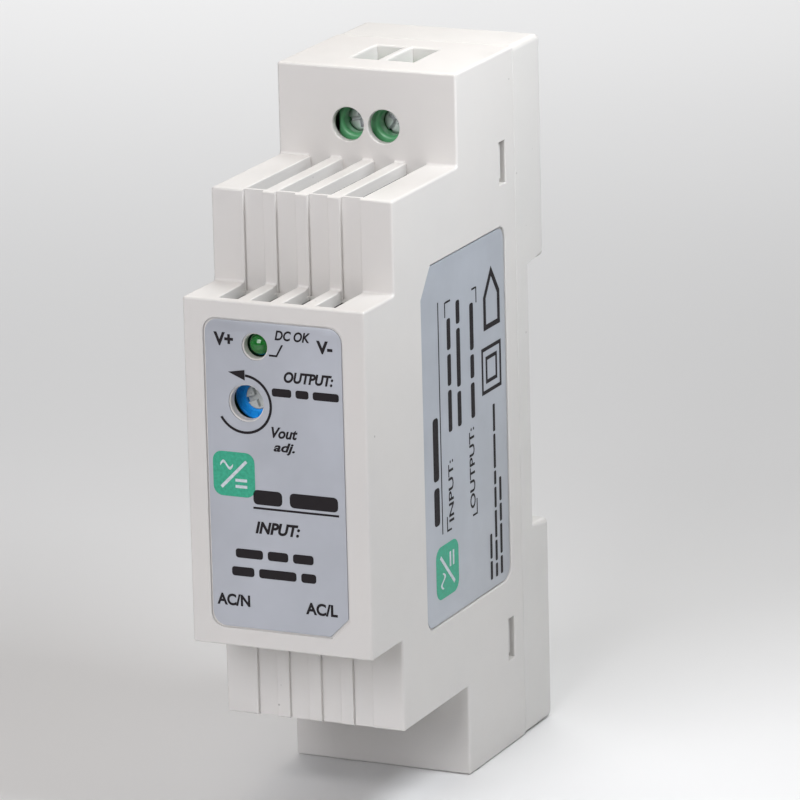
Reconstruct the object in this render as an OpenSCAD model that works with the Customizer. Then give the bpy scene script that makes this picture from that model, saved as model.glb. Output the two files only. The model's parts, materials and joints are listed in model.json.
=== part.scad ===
// Slim DIN rail power supply: stepped two-part housing, screw terminals, boards and a sprung rail latch.
// Frame: origin on the rail's centreline where the flange lies against its seat,
// +Z up, +X right along the rail, and the front face towards -Y. Millimetres.

/* [Body] */
// Width along the rail
body_w = 25; // [24.5:0.5:28]
// Height of the rear block, which holds the terminals
body_h = 93; // [92:0.5:96]
// Height of the shoulder between the rear block and the nose
shoulder_h = 69; // [67:0.5:70]
// Height of the nose that shows through a panel cut-out
nose_h = 45; // [44:0.5:46]
// Depth from the front face to the back
body_d = 56; // [55:0.5:60]
// How far the nose stands out from the shoulder
nose_step = 9; // [8:0.5:10]
// How far the shoulder stands out from the rear block
shoulder_step = 20; // [19:0.5:21]
// How far the middle of the body lies above the rail's centreline
body_rise = 1; // [0:0.5:2]
// Wall thickness of both housings
wall = 2; // [1.8:0.1:2.2]

/* [Rail seat and latch] */
// Height of the DIN rail
rail_h = 35; // [35:0.1:35.4]
// Thickness of the rail's flange
rail_t = 1; // [1:0.1:1.5]
// Depth of the seat that the rail lies in
seat_depth = 5.5; // [5.3:0.1:6]
// Depth of the rear housing from the back to the seam
rear_depth = 9; // [8.5:0.5:9.5]
// How far each hook reaches behind the rail's flange
hook_reach = 2.2; // [1.5:0.1:2.5]
// Width of the latch
latch_w = 11.6; // [10:0.2:13]
// How far the latch slides down to let the rail go
latch_travel = 3; // [2.6:0.1:3.4]

/* [Vents] */
// Number of vent slots in each row
vent_n = 4; // [3:1:4]
// Width of a vent slot
vent_w = 2.7; // [2:0.1:3]
// Distance between neighbouring vent slots
vent_pitch = 4.47; // [4.2:0.01:4.6]
// Depth of the shallow grooves that run down the shoulder's face
groove_depth = 0.5; // [0.3:0.1:0.8]
// How far the slots start behind the front edge of their wall
vent_lip = 1; // [0.9:0.1:1.5]
// How much thinner the wall is around the slots
vent_thinning = 0.5; // [0.2:0.1:0.6]

/* [Terminals] */
// Distance between the two poles of a terminal block
pole_pitch = 5; // [5:0.01:5.08]
// How far the terminal blocks lie to the right of the middle
terminal_x = -0.2; // [-0.5:0.1:0.5]
// Height of the screw axes above the middle of the body
terminal_z = 39; // [38.5:0.1:39.5]
// Diameter of a screwdriver hole in the housing
driver_d = 4.4; // [4:0.1:4.6]
// How much thinner the wall is around the screwdriver holes
driver_thinning = 1; // [0.5:0.1:1]
// Width of a wire entry
entry_w = 3.9; // [3.5:0.1:3.9]
// Depth of a wire entry from front to back
entry_d = 8.5; // [7:0.1:9]
// Diameter of the clamp screw's thread
screw_d = 2.5; // [2.5:0.1:2.6]
// Advance of the clamp cage for one turn of its screw
screw_lead = 0.45; // [0.4:0.01:0.5]
// Turns of the screw from open to closed
screw_turns = 6; // [4:1:6]

/* [Front controls] */
// Place of the status lamp across the front
lamp_x = -2.7; // [-3.5:0.1:-2]
// Height of the status lamp above the middle of the body
lamp_z = 16.8; // [16:0.1:17]
// Diameter of the lamp's hole
lamp_hole_d = 3.2; // [3.2:0.1:3.8]
// Place of the trimmer across the front
trimmer_x = -4.1; // [-5:0.1:-3.5]
// Height of the trimmer above the middle of the body
trimmer_z = 9.4; // [8.5:0.1:9.5]
// Diameter of the trimmer's hole
trimmer_hole_d = 4.5; // [4.3:0.1:5.4]
// Depth of the bevel around both holes
hole_bevel = 0.2; // [0.2:0.1:0.6]

/* [Labels] */
// Left edge of the front label
front_label_left = -9.6; // [-10:0.1:-8]
// Right edge of the front label
front_label_right = 9.2; // [8:0.1:10]
// Height of the front label
front_label_h = 39.9; // [36:0.1:41]
// Front edge of the side label, back from the front face
side_label_front = 17.1; // [15:0.1:20]
// Length of the side label from front to back
side_label_len = 26.2; // [22:0.1:27]
// Height of the side label
side_label_h = 47.2; // [40:0.1:50]
// Thickness of the label film
label_t = 0.2; // [0.1:0.05:0.3]
// Depth of the recess that a label lies in
label_recess = 0.35; // [0.3:0.05:0.5]
// Gap between a label's edge and the edge of its recess
label_gap = 0.2; // [0.2:0.1:0.7]

/* [Hidden] */
$fn = 48;
eps = 0.01;

// Planes of the body along Y, and the half heights of its three steps
back_y = seat_depth;
seam_y = back_y - rear_depth;
front_y = back_y - body_d;
shoulder_y = front_y + nose_step;
block_y = shoulder_y + shoulder_step;
half_w = body_w / 2;
half_h = body_h / 2;
inner_w = body_w - 2 * wall;

// Rail seat, hook and latch, with heights from the rail's centreline
rail_gap = 0.3;
seat_half = rail_h / 2 + rail_gap;
hook_front = rail_t + 0.2;
hook_back = hook_front + 2.4;
hook_w = 18;
seat_wall = 2;
channel_front = 0.6;
channel_gap = 0.2;
channel_lip = 1.7;
channel_w = latch_w + channel_gap * 2;
latch_front = channel_front + channel_gap;
latch_plate_back = back_y - channel_lip - channel_gap;
latch_bottom = body_rise - half_h + 0.6;
latch_rib_w = latch_w - 3;
latch_nose_back = back_y - 0.4;
spring_slot_w = 4.4;
spring_slot_high = -26;
spring_stop_h = 2;
spring_pressed = 7;
spring_slot_low = spring_slot_high - spring_pressed - latch_travel - spring_stop_h;
spring_low = spring_slot_low + 0.2 + spring_stop_h;
spring_len = spring_slot_high - spring_low - 0.1;
spring_r = 1.4;
spring_wire = 0.4;
spring_y = (latch_front + latch_plate_back) / 2;

// Snap tongues that hold the two housings together
tongue_z = 32;
tongue_w = 4.6;
tongue_t = 1;
tongue_len = 6;
barb_h = 1.5;
window_front = 4.9;
window_l = 2;
window_w = 5.6;

// Boards
board_t = 1.6;
board_back = seam_y - 0.4;
board_front = board_back - board_t;
board_w = 20;
board_h = 87;
front_board_t = 1.2;
front_board_y = front_y + 7.9;
front_board_h = 40;
riser_t = 1;
riser_x = 9;
riser_low = -14;
riser_h = 28;
riser_len = board_front - front_board_y - front_board_t;

// Terminal blocks: heights are above the main board
block_h = board_front - block_y - wall - 0.2;
block_w = 2 * pole_pitch - 0.4;
block_inner = 5.2;
block_outer = half_h - wall - 0.2 - terminal_z;
block_bottom = 0.6;
cavity_w = 4;
cavity_d = 4.2;
driver_r = 1.65;
chamber_r = 2;
head_r = 1.8;
head_h = 1.8;
head_top = block_h - 1.8;
head_seat = head_top - head_h;
slot_w = 0.6;
slot_depth = 0.9;
bar_top = head_seat - screw_turns * screw_lead - 1.7;
bar_t = 0.8;
bar_w = 2.2;
clamp_w = 3.7;
clamp_d = 3.8;
clamp_wall = 0.6;
clamp_plate = 1.2;
clamp_top = bar_top + 0.2 + clamp_plate;
clamp_bottom = 0.9;
clamp_floor = 0.7;
thread_gap = 0.05;
entry_low = 2.2;

// Steps of the two printed film labels
label_r = 1.8;
front_label_chamfer = 2.5;
side_label_chamfer_y = 3.1;
side_label_chamfer_z = 3.9;

// Lamp and trimmer, with heights above the front board
lamp_tip = 7.2;
trimmer_r = 3.1;
trimmer_h = 4.6;
rotor_r = 1.6;
rotor_gap = 0.05;

// Round leads of the parts on the boards
lead_d = 0.6;

// Common-mode choke: a ferrite ring with two windings
choke_r = 5.6;
choke_hole_r = 2.6;
choke_h = 5.4;
choke_lift = 1.2;

// Transistor and sink stand side by side; the screw clamps them together
sink_left = 7;
sink_t = 1.5;
sink_w = 12;
sink_h = 21;
power_x = 4;
power_z = 1.2;
power_body_h = 9.4;
tab_t = 1.3;
tab_hole = 16;

// Transformer: two E cores whose middle leg lies along X, inside a bobbin and its winding
core_len = 17;
core_h = 14;
core_t = 5;
core_leg = 4.4;
core_low = 1.6;
window_len = 12;
window_h = 2.9;
coil_z = 16.2;
coil_len = 9.6;
flange_t = 0.9;

// Half of the stepped outline, drawn inwards by t; Y is the first coordinate, Z the second
function step_half(t, back) = [
    [back, half_h - t],
    [block_y + t, half_h - t],
    [block_y + t, shoulder_h / 2 - t],
    [shoulder_y + t, shoulder_h / 2 - t],
    [shoulder_y + t, nose_h / 2 - t],
    [front_y + t, nose_h / 2 - t]
];

// The same half turned over, in reverse order, so that the two halves make one outline
function flipped(points) = [for (i = [len(points) - 1:-1:0]) [points[i][0], -points[i][1]]];

// Points of a quarter round corner at c, from angle a
function corner(c, r, a) = [for (i = [0:6]) c + r * [cos(a + 15 * i), sin(a + 15 * i)]];

// Moves things from the middle of the body to the middle of the rail
module on_body() {
    translate([0, 0, body_rise]) children();
}

// Places a part that stands on the main board: local Z is its height, local Y is up
module on_main(x, z) {
    on_body() translate([x, board_front, z]) rotate([90, 0, 0]) children();
}

// Places a part that stands on the front board
module on_front(x, z) {
    on_body() translate([x, front_board_y, z]) rotate([90, 0, 0]) children();
}

// Places a part on the riser board: local Z points left, local X runs to the front, local Y is up
module on_riser(h, z) {
    on_body() translate([riser_x, board_front - h, z]) rotate([90, 0, -90]) children();
}

// Stands a part in both terminal blocks' directions: side 1 is the top block, -1 the bottom block
module at_block(side) {
    on_main(terminal_x, side * terminal_z) mirror([0, side > 0 ? 0 : 1, 0]) children();
}

// One pole of a terminal block, counted from the left
module at_pole(side, pole) {
    at_block(side) translate([(pole - 0.5) * pole_pitch, 0, 0]) children();
}

// A box given by its lower and upper corners
module span(low, high) {
    translate(low) cube(high - low);
}

// A stepped block as wide as w, drawn inwards by t
module stepped(t, back, w) {
    outline = step_half(t, back);
    rotate([90, 0, 90])
        linear_extrude(w, center = true)
            polygon(concat(outline, flipped(outline)));
}

// A cone that bevels the rim of a hole of radius r in the front face
module rim_bevel(r) {
    cylinder(hole_bevel + 2 * eps, r - eps, r + hole_bevel);
}

/* Housings */

module vent_slots() {
    for (i = [0:vent_n - 1], side = [-1, 1]) {
        x = (i - (vent_n - 1) / 2) * vent_pitch - vent_w / 2;
        // through the shoulder's top and bottom walls
        mirror([0, 0, side > 0 ? 0 : 1])
            translate([x, shoulder_y + vent_lip, shoulder_h / 2 - wall - eps])
                cube([vent_w, shoulder_step - vent_lip, wall + 1]);
        // through the nose's top and bottom walls
        mirror([0, 0, side > 0 ? 0 : 1])
            translate([x, front_y + vent_lip, nose_h / 2 - wall - eps])
                cube([vent_w, nose_step - vent_lip + groove_depth, wall + 1]);
        // shallow groove down the shoulder's face
        mirror([0, 0, side > 0 ? 0 : 1])
            translate([x, shoulder_y - 1, nose_h / 2 - eps])
                cube([vent_w, 1 + groove_depth, shoulder_h / 2 - nose_h / 2 + 1]);
    }
    // thinner wall around the slots, from inside
    thin_w = vent_n * vent_pitch;
    for (side = [-1, 1])
        mirror([0, 0, side > 0 ? 0 : 1]) {
            translate([-thin_w / 2, shoulder_y + wall, shoulder_h / 2 - wall - eps])
                cube([thin_w, shoulder_step, vent_thinning + eps]);
            translate([-thin_w / 2, front_y + wall, nose_h / 2 - wall - eps])
                cube([thin_w, nose_step, vent_thinning + eps]);
        }
}

module terminal_holes() {
    // thinner wall around each pair of screwdriver holes, from inside
    for (side = [-1, 1])
        at_block(side)
            translate([-driver_d / 2 - pole_pitch / 2 - 0.8, -driver_d / 2 - 0.7, block_h - 1])
                cube([driver_d + pole_pitch + 1.6, driver_d + 1.4, 1.2 + driver_thinning]);
    for (side = [-1, 1], pole = [0, 1])
        at_pole(side, pole) {
            translate([0, 0, block_h - 1]) cylinder(wall + 4, d = driver_d);
            translate([-entry_w / 2, block_outer - 1, entry_low]) cube([entry_w, wall + 4, entry_d]);
        }
}

module front_label_outline(grow) {
    l = front_label_left - grow;
    r = front_label_right + grow;
    h = front_label_h / 2 + grow;
    c = front_label_chamfer;
    polygon(concat(
        corner([r - label_r, h - label_r], label_r, 0),
        corner([l + label_r, h - label_r], label_r, 90),
        corner([l + label_r, -h + label_r], label_r, 180),
        [[r - c, -h], [r, -h + c]]
    ));
}

module side_label_outline(grow) {
    f = front_y + side_label_front - grow;
    b = front_y + side_label_front + side_label_len + grow;
    h = side_label_h / 2 + grow;
    polygon(concat(
        corner([b - label_r, h - label_r], label_r, 0),
        [[f + side_label_chamfer_y, h], [f, h - side_label_chamfer_z]],
        corner([f + label_r, -h + label_r], label_r, 180),
        corner([b - label_r, -h + label_r], label_r, 270)
    ));
}

module front_housing() {
    color("#d9d7d3") difference() {
        on_body() difference() {
            stepped(0, seam_y, body_w);
            stepped(wall, seam_y + 1, inner_w);
            vent_slots();
            translate([0, front_y + label_recess, 0])
                rotate([90, 0, 0])
                    linear_extrude(1)
                        front_label_outline(label_gap);
            translate([half_w - label_recess, 0, 0])
                rotate([90, 0, 90])
                    linear_extrude(1)
                        side_label_outline(label_gap);
            translate([lamp_x, front_y - 1, lamp_z])
                rotate([-90, 0, 0])
                    cylinder(wall + 2, d = lamp_hole_d);
            translate([lamp_x, front_y + label_recess + hole_bevel, lamp_z])
                rotate([90, 0, 0])
                    rim_bevel(lamp_hole_d / 2);
            translate([trimmer_x, front_y - 1, trimmer_z])
                rotate([-90, 0, 0])
                    cylinder(wall + 2, d = trimmer_hole_d);
            translate([trimmer_x, front_y + label_recess + hole_bevel, trimmer_z])
                rotate([90, 0, 0])
                    rim_bevel(trimmer_hole_d / 2);
            for (side = [-1, 1])
                translate([0, seam_y - window_front, side * tongue_z])
                    translate([-half_w - 1, 0, -window_w / 2])
                        cube([body_w + 2, window_l, window_w]);
        }
        terminal_holes();
    }
}

module snap_tongues() {
    for (end = [-1, 1], side = [-1, 1])
        mirror([end > 0 ? 0 : 1, 0, 0]) translate([0, 0, side * tongue_z]) {
            span([inner_w / 2 - 0.1 - tongue_t, seam_y - tongue_len, -tongue_w / 2],
                [inner_w / 2 - 0.1, seam_y + wall, tongue_w / 2]);
            // root that joins the tongue to the side wall
            span([inner_w / 2 - 0.1 - tongue_t, seam_y, -tongue_w / 2],
                [inner_w / 2 + 0.5, seam_y + wall, tongue_w / 2]);
            // barb that catches in the window
            translate([inner_w / 2 - 0.2, seam_y - window_front, -tongue_w / 2])
                linear_extrude(tongue_w)
                    polygon([[0, 0.2], [barb_h * 0.6, 0.9], [barb_h, window_l - 0.1], [0, window_l - 0.1]]);
        }
}

module rear_shell() {
    upper = seat_half + wall;
    difference() {
        on_body() span([-half_w, seam_y, -half_h], [half_w, back_y, half_h]);
        // seat for the rail
        span([-half_w - 1, 0, -seat_half], [half_w + 1, back_y + 1, seat_half]);
        // space behind the main board
        on_body() span([-inner_w / 2, seam_y - 1, -half_h + wall], [inner_w / 2, -seat_wall, half_h - wall]);
        // deeper space above the rail seat
        span([-inner_w / 2, seam_y - 1, upper], [inner_w / 2, back_y - wall, body_rise + half_h - wall]);
        // channel for the latch, wider behind its two lips
        span([-channel_w / 2, channel_front, body_rise - half_h - 1],
            [channel_w / 2, back_y - channel_lip, -seat_half + 1]);
        span([-latch_rib_w / 2 - channel_gap, channel_front, body_rise - half_h - 1],
            [latch_rib_w / 2 + channel_gap, back_y + 1, -seat_half + 1]);
    }
}

module rear_housing() {
    color("#d3d2cf") {
        rear_shell();
        on_body() snap_tongues();
        // fixed hook over the rail's upper flange
        rotate([90, 0, 90])
            linear_extrude(hook_w, center = true)
                polygon([
                    [hook_front, seat_half + 0.5],
                    [hook_front, seat_half - rail_gap - hook_reach],
                    [hook_back - 0.8, seat_half - rail_gap - hook_reach],
                    [hook_back, seat_half - 1],
                    [hook_back, seat_half + 0.5]
                ]);
        // stop that the latch spring pushes against
        span([-1.8, channel_front - 0.5, spring_slot_low + 0.2], [1.8, latch_plate_back, spring_low]);
        // pads that carry the main board
        for (x = [-1, 1], z = [-26, 15])
            on_body()
                translate([x * 8 - 1, board_back, z - 1])
                    cube([2, -seat_wall - board_back + 0.5, 2]);
    }
}

module rail_latch() {
    color("#c9cac9") difference() {
        union() {
            span([-latch_w / 2, latch_front, latch_bottom],
                [latch_w / 2, latch_plate_back, -seat_half - 0.1]);
            span([-latch_rib_w / 2, latch_plate_back - 0.5, latch_bottom],
                [latch_rib_w / 2, back_y - 0.2, -seat_half - 0.1]);
            // nose that catches the rail's lower flange, sloped so that the rail pushes it down
            rotate([90, 0, 90])
                linear_extrude(latch_rib_w, center = true)
                    polygon([
                        [hook_front, -seat_half - 1],
                        [hook_front, -seat_half + rail_gap + hook_reach],
                        [hook_front + 0.8, -seat_half + rail_gap + hook_reach],
                        [latch_nose_back, -seat_half + 0.2],
                        [latch_nose_back, -seat_half - 1]
                    ]);
        }
        span([-spring_slot_w / 2, 0, spring_slot_low],
            [spring_slot_w / 2, latch_plate_back + 0.4, spring_slot_high]);
        // pocket for a screwdriver blade
        span([-3, latch_plate_back - 0.6, latch_bottom + 1.6], [3, back_y + 1, latch_bottom + 3.4]);
        span([-1.6, back_y - 1.2, latch_bottom + 5], [1.6, back_y + 1, latch_bottom + 5.8]);
    }
}

module latch_spring() {
    color("#b9bcc0")
        translate([0, spring_y, spring_low + 0.05])
            difference() {
                cylinder(spring_len, r = spring_r);
                translate([0, 0, -1]) cylinder(spring_len + 2, r = spring_r - spring_wire);
            }
}

/* Labels */

module front_label() {
    color("#b4bdc8")
        on_body()
            translate([0, front_y + label_recess, 0])
                rotate([90, 0, 0])
                    linear_extrude(label_t)
                        difference() {
                            front_label_outline(0);
                            translate([lamp_x, lamp_z]) circle(lamp_hole_d / 2 + hole_bevel);
                            translate([trimmer_x, trimmer_z]) circle(trimmer_hole_d / 2 + hole_bevel);
                        }
}

module side_label() {
    color("#b4bdc8")
        on_body()
            translate([half_w - label_recess, 0, 0])
                rotate([90, 0, 90])
                    linear_extrude(label_t)
                        side_label_outline(0);
}

/* Boards */

module board_notches() {
    for (x = [-1, 1], z = [-1, 1])
        translate([x * board_w / 2, z * tongue_z]) square([2.4, tongue_w + 1], center = true);
}

module contact_holes() {
    for (side = [-1, 1], pole = [0, 1])
        translate([terminal_x + (pole - 0.5) * pole_pitch, side * (terminal_z - block_inner + 1)])
            circle(0.9);
}

module main_board() {
    color("#2f6b4a")
        on_body()
            translate([0, board_back, 0])
                rotate([90, 0, 0])
                    linear_extrude(board_t)
                        difference() {
                            square([board_w, board_h], center = true);
                            board_notches();
                            contact_holes();
                        }
}

module riser_board() {
    color("#2f6b4a")
        on_body()
            translate([riser_x, front_board_y + front_board_t + 0.05, riser_low])
                cube([riser_t, riser_len - 0.1, riser_h]);
}

module front_board() {
    color("#2f6b4a")
        on_body()
            translate([0, front_board_y + front_board_t, 0])
                rotate([90, 0, 0])
                    linear_extrude(front_board_t)
                        square([board_w, front_board_h], center = true);
}

/* Front controls */

module status_led() {
    r = 1.5;
    flange_r = 1.8;
    low = 2;
    dome = lamp_tip - r;
    on_front(lamp_x, lamp_z) {
        color("#1f8f4d") {
            translate([0, 0, low]) cylinder(0.8, r = flange_r);
            translate([0, 0, low]) cylinder(dome - low, r = r);
            translate([0, 0, dome]) sphere(r);
        }
        color("silver")
            for (x = [-1.27 / 2, 1.27 / 2])
                translate([x - 0.25, -0.25, 0]) cube([0.5, 0.5, low + 0.2]);
    }
}

module trimmer_body() {
    on_front(trimmer_x, trimmer_z) {
        color("#2f7fd0") difference() {
            cylinder(trimmer_h, r = trimmer_r);
            translate([0, 0, trimmer_h - 1.2]) cylinder(2, r = rotor_r + rotor_gap);
            translate([0, 0, trimmer_h - 0.4]) cylinder(1, rotor_r + 0.2, rotor_r + 1.2);
        }
    }
}

module trimmer_rotor() {
    on_front(trimmer_x, trimmer_z)
        color("#dfe3e6") difference() {
            translate([0, 0, trimmer_h - 1.15]) cylinder(0.95, r = rotor_r);
            for (a = [20, 110])
                translate([0, 0, trimmer_h])
                    rotate([0, 0, a])
                        cube([2.6, 0.5, 1.2], center = true);
        }
}

/* Terminal blocks, with heights above the main board */

module pole_cavity() {
    translate([0, 0, block_h - 1.4]) cylinder(1.6, driver_r, chamber_r + 0.5);
    translate([0, 0, head_seat]) cylinder(block_h, r = driver_r);
    translate([0, 0, head_seat - 1]) cylinder(head_h + 1.2, r = chamber_r);
    translate([-cavity_w / 2, -cavity_d / 2, block_bottom])
        cube([cavity_w, cavity_d, head_seat + 0.1 - block_bottom]);
    // wire entry, open to the end of the housing
    translate([-1.75, 0, clamp_bottom]) cube([3.5, block_outer + 1, entry_low + entry_d - clamp_bottom - 1]);
    // way for the contact strip
    translate([-bar_w / 2 - 0.1, -block_inner + 0.5, -eps]) cube([bar_w + 0.2, block_inner, bar_top + 0.1]);
}

module terminal_block(side) {
    color("#2e8b57")
        at_block(side) difference() {
            translate([-block_w / 2, -block_inner, 0.05])
                cube([block_w, block_inner + block_outer, block_h - 0.05]);
            for (pole = [0, 1])
                translate([(pole - 0.5) * pole_pitch, 0, 0]) pole_cavity();
            // bevel along the front edges of the block
            for (y = [-block_inner, block_outer])
                translate([0, y, block_h])
                    rotate([45, 0, 0])
                        cube([block_w + 2, 1, 1], center = true);
        }
}

module contact_strips(side) {
    for (pole = [0, 1])
        color("#c8b27a") at_pole(side, pole) {
            translate([-bar_w / 2, -block_inner + 0.6, bar_top - bar_t])
                cube([bar_w, block_inner + 1.4, bar_t]);
            translate([-bar_w / 2, -block_inner + 0.6, 0.1]) cube([bar_w, bar_t, bar_top - 0.1 - eps]);
            translate([-0.5, -block_inner + 0.6, -board_t - 0.4]) cube([1, bar_t, board_t + 1]);
        }
}

module clamp_screw(side, pole) {
    at_pole(side, pole)
        color("silver") difference() {
            union() {
                translate([0, 0, head_seat]) cylinder(head_h, r = head_r);
                translate([0, 0, bar_top + 0.05]) cylinder(head_seat - bar_top, d = screw_d);
            }
            for (a = [35, 125])
                translate([0, 0, head_top])
                    rotate([0, 0, a])
                        cube([2 * head_r - (a > 90 ? 1.2 : -1), slot_w, 2 * slot_depth], center = true);
        }
}

module clamp_cage(side, pole) {
    at_pole(side, pole)
        color("#aeb2b5") difference() {
            translate([-clamp_w / 2, -clamp_d / 2, clamp_bottom])
                cube([clamp_w, clamp_d, clamp_top - clamp_bottom]);
            translate([-clamp_w / 2 + clamp_wall, -clamp_d, clamp_bottom + clamp_floor])
                cube([clamp_w - 2 * clamp_wall, 2 * clamp_d,
                    clamp_top - clamp_plate - clamp_bottom - clamp_floor]);
            translate([0, 0, clamp_top - clamp_plate - 1])
                cylinder(clamp_plate + 2, r = screw_d / 2 + thread_gap);
        }
}

/* Parts on the main board, with heights above it */

// Two round leads, d apart, that hold a part h above the board
module leads(d, h) {
    color("silver")
        for (x = [-d / 2, d / 2])
            translate([x, 0, 0]) cylinder(h, d = lead_d);
}

// A standing disc with its two leads
module disc_part(r, t, c) {
    leads(2 * r - 3, 2);
    color(c) translate([0, t / 2, r + 1]) rotate([90, 0, 0]) cylinder(t, r = r);
}

// A standing can with a crimped groove near its foot
module can(r, h) {
    groove = 0.4;
    translate([0, 0, 0.1]) difference() {
        cylinder(h, r = r);
        translate([0, 0, 1.6])
            rotate_extrude()
                translate([r, 0]) circle(groove);
        translate([0, 0, h - 0.3]) cylinder(1, r = r - 0.8);
    }
}

module fuse() {
    color("#3a3a3a") on_main(-5, -28.8) translate([0, 0, 0.1]) {
        cylinder(6.6, r = 4.1);
        cylinder(7.2, r = 3.4);
    }
}

module varistor() {
    on_main(4.6, -30.9) disc_part(4.2, 3.6, "#2b5fa8");
}

module inrush_thermistor() {
    on_main(4.6, -26.1) disc_part(3.6, 3.4, "#2f3b33");
}

module x2_capacitor() {
    color("#e0c53a") on_main(0, -19.7) translate([-8.5, -3.3, 0.1]) cube([17, 6.6, 12.6]);
}

module choke_core() {
    color("#4a4d50") on_main(-4, -9.6) translate([0, 0, choke_lift]) difference() {
        cylinder(choke_h, r = choke_r);
        translate([0, 0, -1]) cylinder(choke_h + 2, r = choke_hole_r);
    }
}

// Two copper windings on opposite sides of the choke's ring
module choke_windings() {
    t = 0.7;
    color("#b5652b") on_main(-4, -9.6) translate([0, 0, choke_lift - t]) difference() {
        intersection() {
            difference() {
                cylinder(choke_h + 2 * t, r = choke_r + t - 0.3);
                translate([0, 0, -1]) cylinder(choke_h + 4, r = choke_hole_r - t);
            }
            for (side = [-1, 1])
                translate([side * 5, 0, choke_h / 2]) cube([7, 9, choke_h + 4], center = true);
        }
        translate([0, 0, t - 0.02]) difference() {
            cylinder(choke_h + 0.04, r = choke_r + 0.02);
            translate([0, 0, -1]) cylinder(choke_h + 2, r = choke_hole_r - 0.02);
        }
    }
}

module bridge_rectifier() {
    color("#26282a") on_main(5.6, -11.6) translate([-3, -4.2, 1]) cube([6, 8.4, 3.2]);
    color("silver") on_main(5.6, -11.6)
        for (x = [-3, 3], y = [-2.5, 2.5])
            translate([x - 0.3, y - 0.4, 0.05]) cube([0.6, 0.8, 2]);
}

module input_capacitor() {
    color("#2a2d33") on_main(-4.7, 2.7) can(5.2, 25);
}

module switching_transistor() {
    on_main(0, power_z) {
        color("#26282a") translate([sink_left - 4.4, -5, 4]) cube([4.35, 10, power_body_h]);
        color("silver") difference() {
            translate([sink_left - tab_t - 0.05, -5, 4]) cube([tab_t, 10, 15.4]);
            translate([sink_left - 3, 0, tab_hole]) rotate([0, 90, 0]) cylinder(5, r = 1.6);
        }
        color("silver")
            for (y = [-2.54, 0, 2.54])
                translate([power_x, y - 0.4, 0.05]) cube([0.5, 0.8, 4]);
    }
}

module heat_sink() {
    color("#9aa0a5") on_main(0, power_z) difference() {
        translate([sink_left, -sink_w / 2, 0.3]) cube([sink_t, sink_w, sink_h]);
        translate([sink_left - 1, 0, tab_hole]) rotate([0, 90, 0]) cylinder(4, r = 1.25);
    }
}

module heat_sink_screw() {
    color("silver") on_main(0, power_z) translate([0, 0, tab_hole]) rotate([0, 90, 0]) difference() {
        union() {
            translate([0, 0, sink_left - tab_t - 0.1 - 1.8]) cylinder(1.8, r = 2.6);
            translate([0, 0, sink_left - tab_t - 0.2]) cylinder(tab_t + 0.2 + sink_t, r = 1.2);
        }
        for (a = [0, 90])
            translate([0, 0, sink_left - tab_t - 1.9])
                rotate([0, 0, a])
                    cube([3, 0.6, 1.6], center = true);
    }
}

module transformer_core() {
    color("#3b3d40") on_main(0, coil_z) translate([0, 0, core_low]) difference() {
        translate([-core_len / 2, -core_t / 2, 0]) cube([core_len, core_t, core_h]);
        for (side = [-1, 1])
            translate([0, 0, core_h / 2 + side * (core_leg / 2 + window_h / 2)])
                cube([window_len, core_t + 2, window_h], center = true);
    }
}

module transformer_bobbin() {
    leg = core_leg / 2 + 0.05;
    flange = core_leg / 2 + window_h - 0.1;
    foot = core_low + core_h / 2 - flange;
    color("#1e2022") on_main(0, coil_z) translate([0, 0, core_low + core_h / 2]) {
        difference() {
            union() {
                cube([coil_len + flange_t, core_t + 1.4, 2 * leg + 1], center = true);
                for (x = [-1, 1])
                    translate([x * (coil_len + flange_t) / 2, 0, 0])
                        cube([flange_t, 12.6, 2 * flange], center = true);
            }
            cube([coil_len + 5, core_t + 0.1, 2 * leg], center = true);
        }
        for (x = [-1, 1], y = [-1, 1])
            translate([x * (coil_len + flange_t) / 2, y * 5, -flange - foot / 2 + 0.15])
                cube([flange_t + 1.2, 2.4, foot + 0.1], center = true);
    }
    color("silver") on_main(0, coil_z)
        for (x = [-1, 1], y = [-5, 5])
            translate([x * (coil_len + flange_t) / 2, y, 0.05]) cylinder(1, d = lead_d);
}

module transformer_winding() {
    color("#e3b93c") on_main(0, coil_z) translate([0, 0, core_low + core_h / 2]) difference() {
        cube([coil_len - 0.1, 11.6, core_leg + 2 * window_h - 0.5], center = true);
        cube([coil_len + 1, core_t + 1.5, core_leg + 1.2], center = true);
    }
}

module y_capacitor() {
    on_main(-5.5, 8.9) disc_part(3.4, 1.6, "#3a78c2");
}

module output_diode() {
    on_main(7.5, 25.4) {
        color("#26282a") translate([0, 0, 2]) cylinder(8.6, r = 1.6);
        color("silver") translate([0, 0, 0.05]) cylinder(12, d = 1);
        color("#d0d3d6") translate([0, 0, 9]) cylinder(1.1, r = 1.65);
    }
}

module output_inductor() {
    color("#30343a") on_main(7.5, 29.6) {
        translate([0, 0, 0.1]) cylinder(1.2, r = 1.8);
        translate([0, 0, 0.2]) cylinder(9, r = 1.5);
        translate([0, 0, 8.4]) cylinder(1.2, r = 1.8);
    }
}

module output_capacitors() {
    color("#27314d")
        for (x = [-5.5, 1.9])
            on_main(x, 28.6) can(3.6, 16);
}

module controller_chip() {
    on_riser(30, -6) {
        color("#26282a") translate([-2.5, -2, 0.2]) cube([5, 4, 1.5]);
        color("silver")
            for (x = [-1.9, -0.6, 0.6, 1.9], y = [-1, 1])
                translate([x - 0.2, y * 2.4 - 0.6, 0.02]) cube([0.4, 1.2, 0.5]);
    }
}

module optocoupler() {
    on_riser(29, 6) {
        color("#e6e6e2") translate([-2.3, -3.1, 0.5]) cube([4.6, 6.2, 3]);
        color("silver")
            for (x = [-1.27, 1.27], y = [-1, 1])
                translate([x - 0.3, y * 3.3 - 0.3, 0.02]) cube([0.6, 0.6, 1.6]);
    }
}

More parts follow.
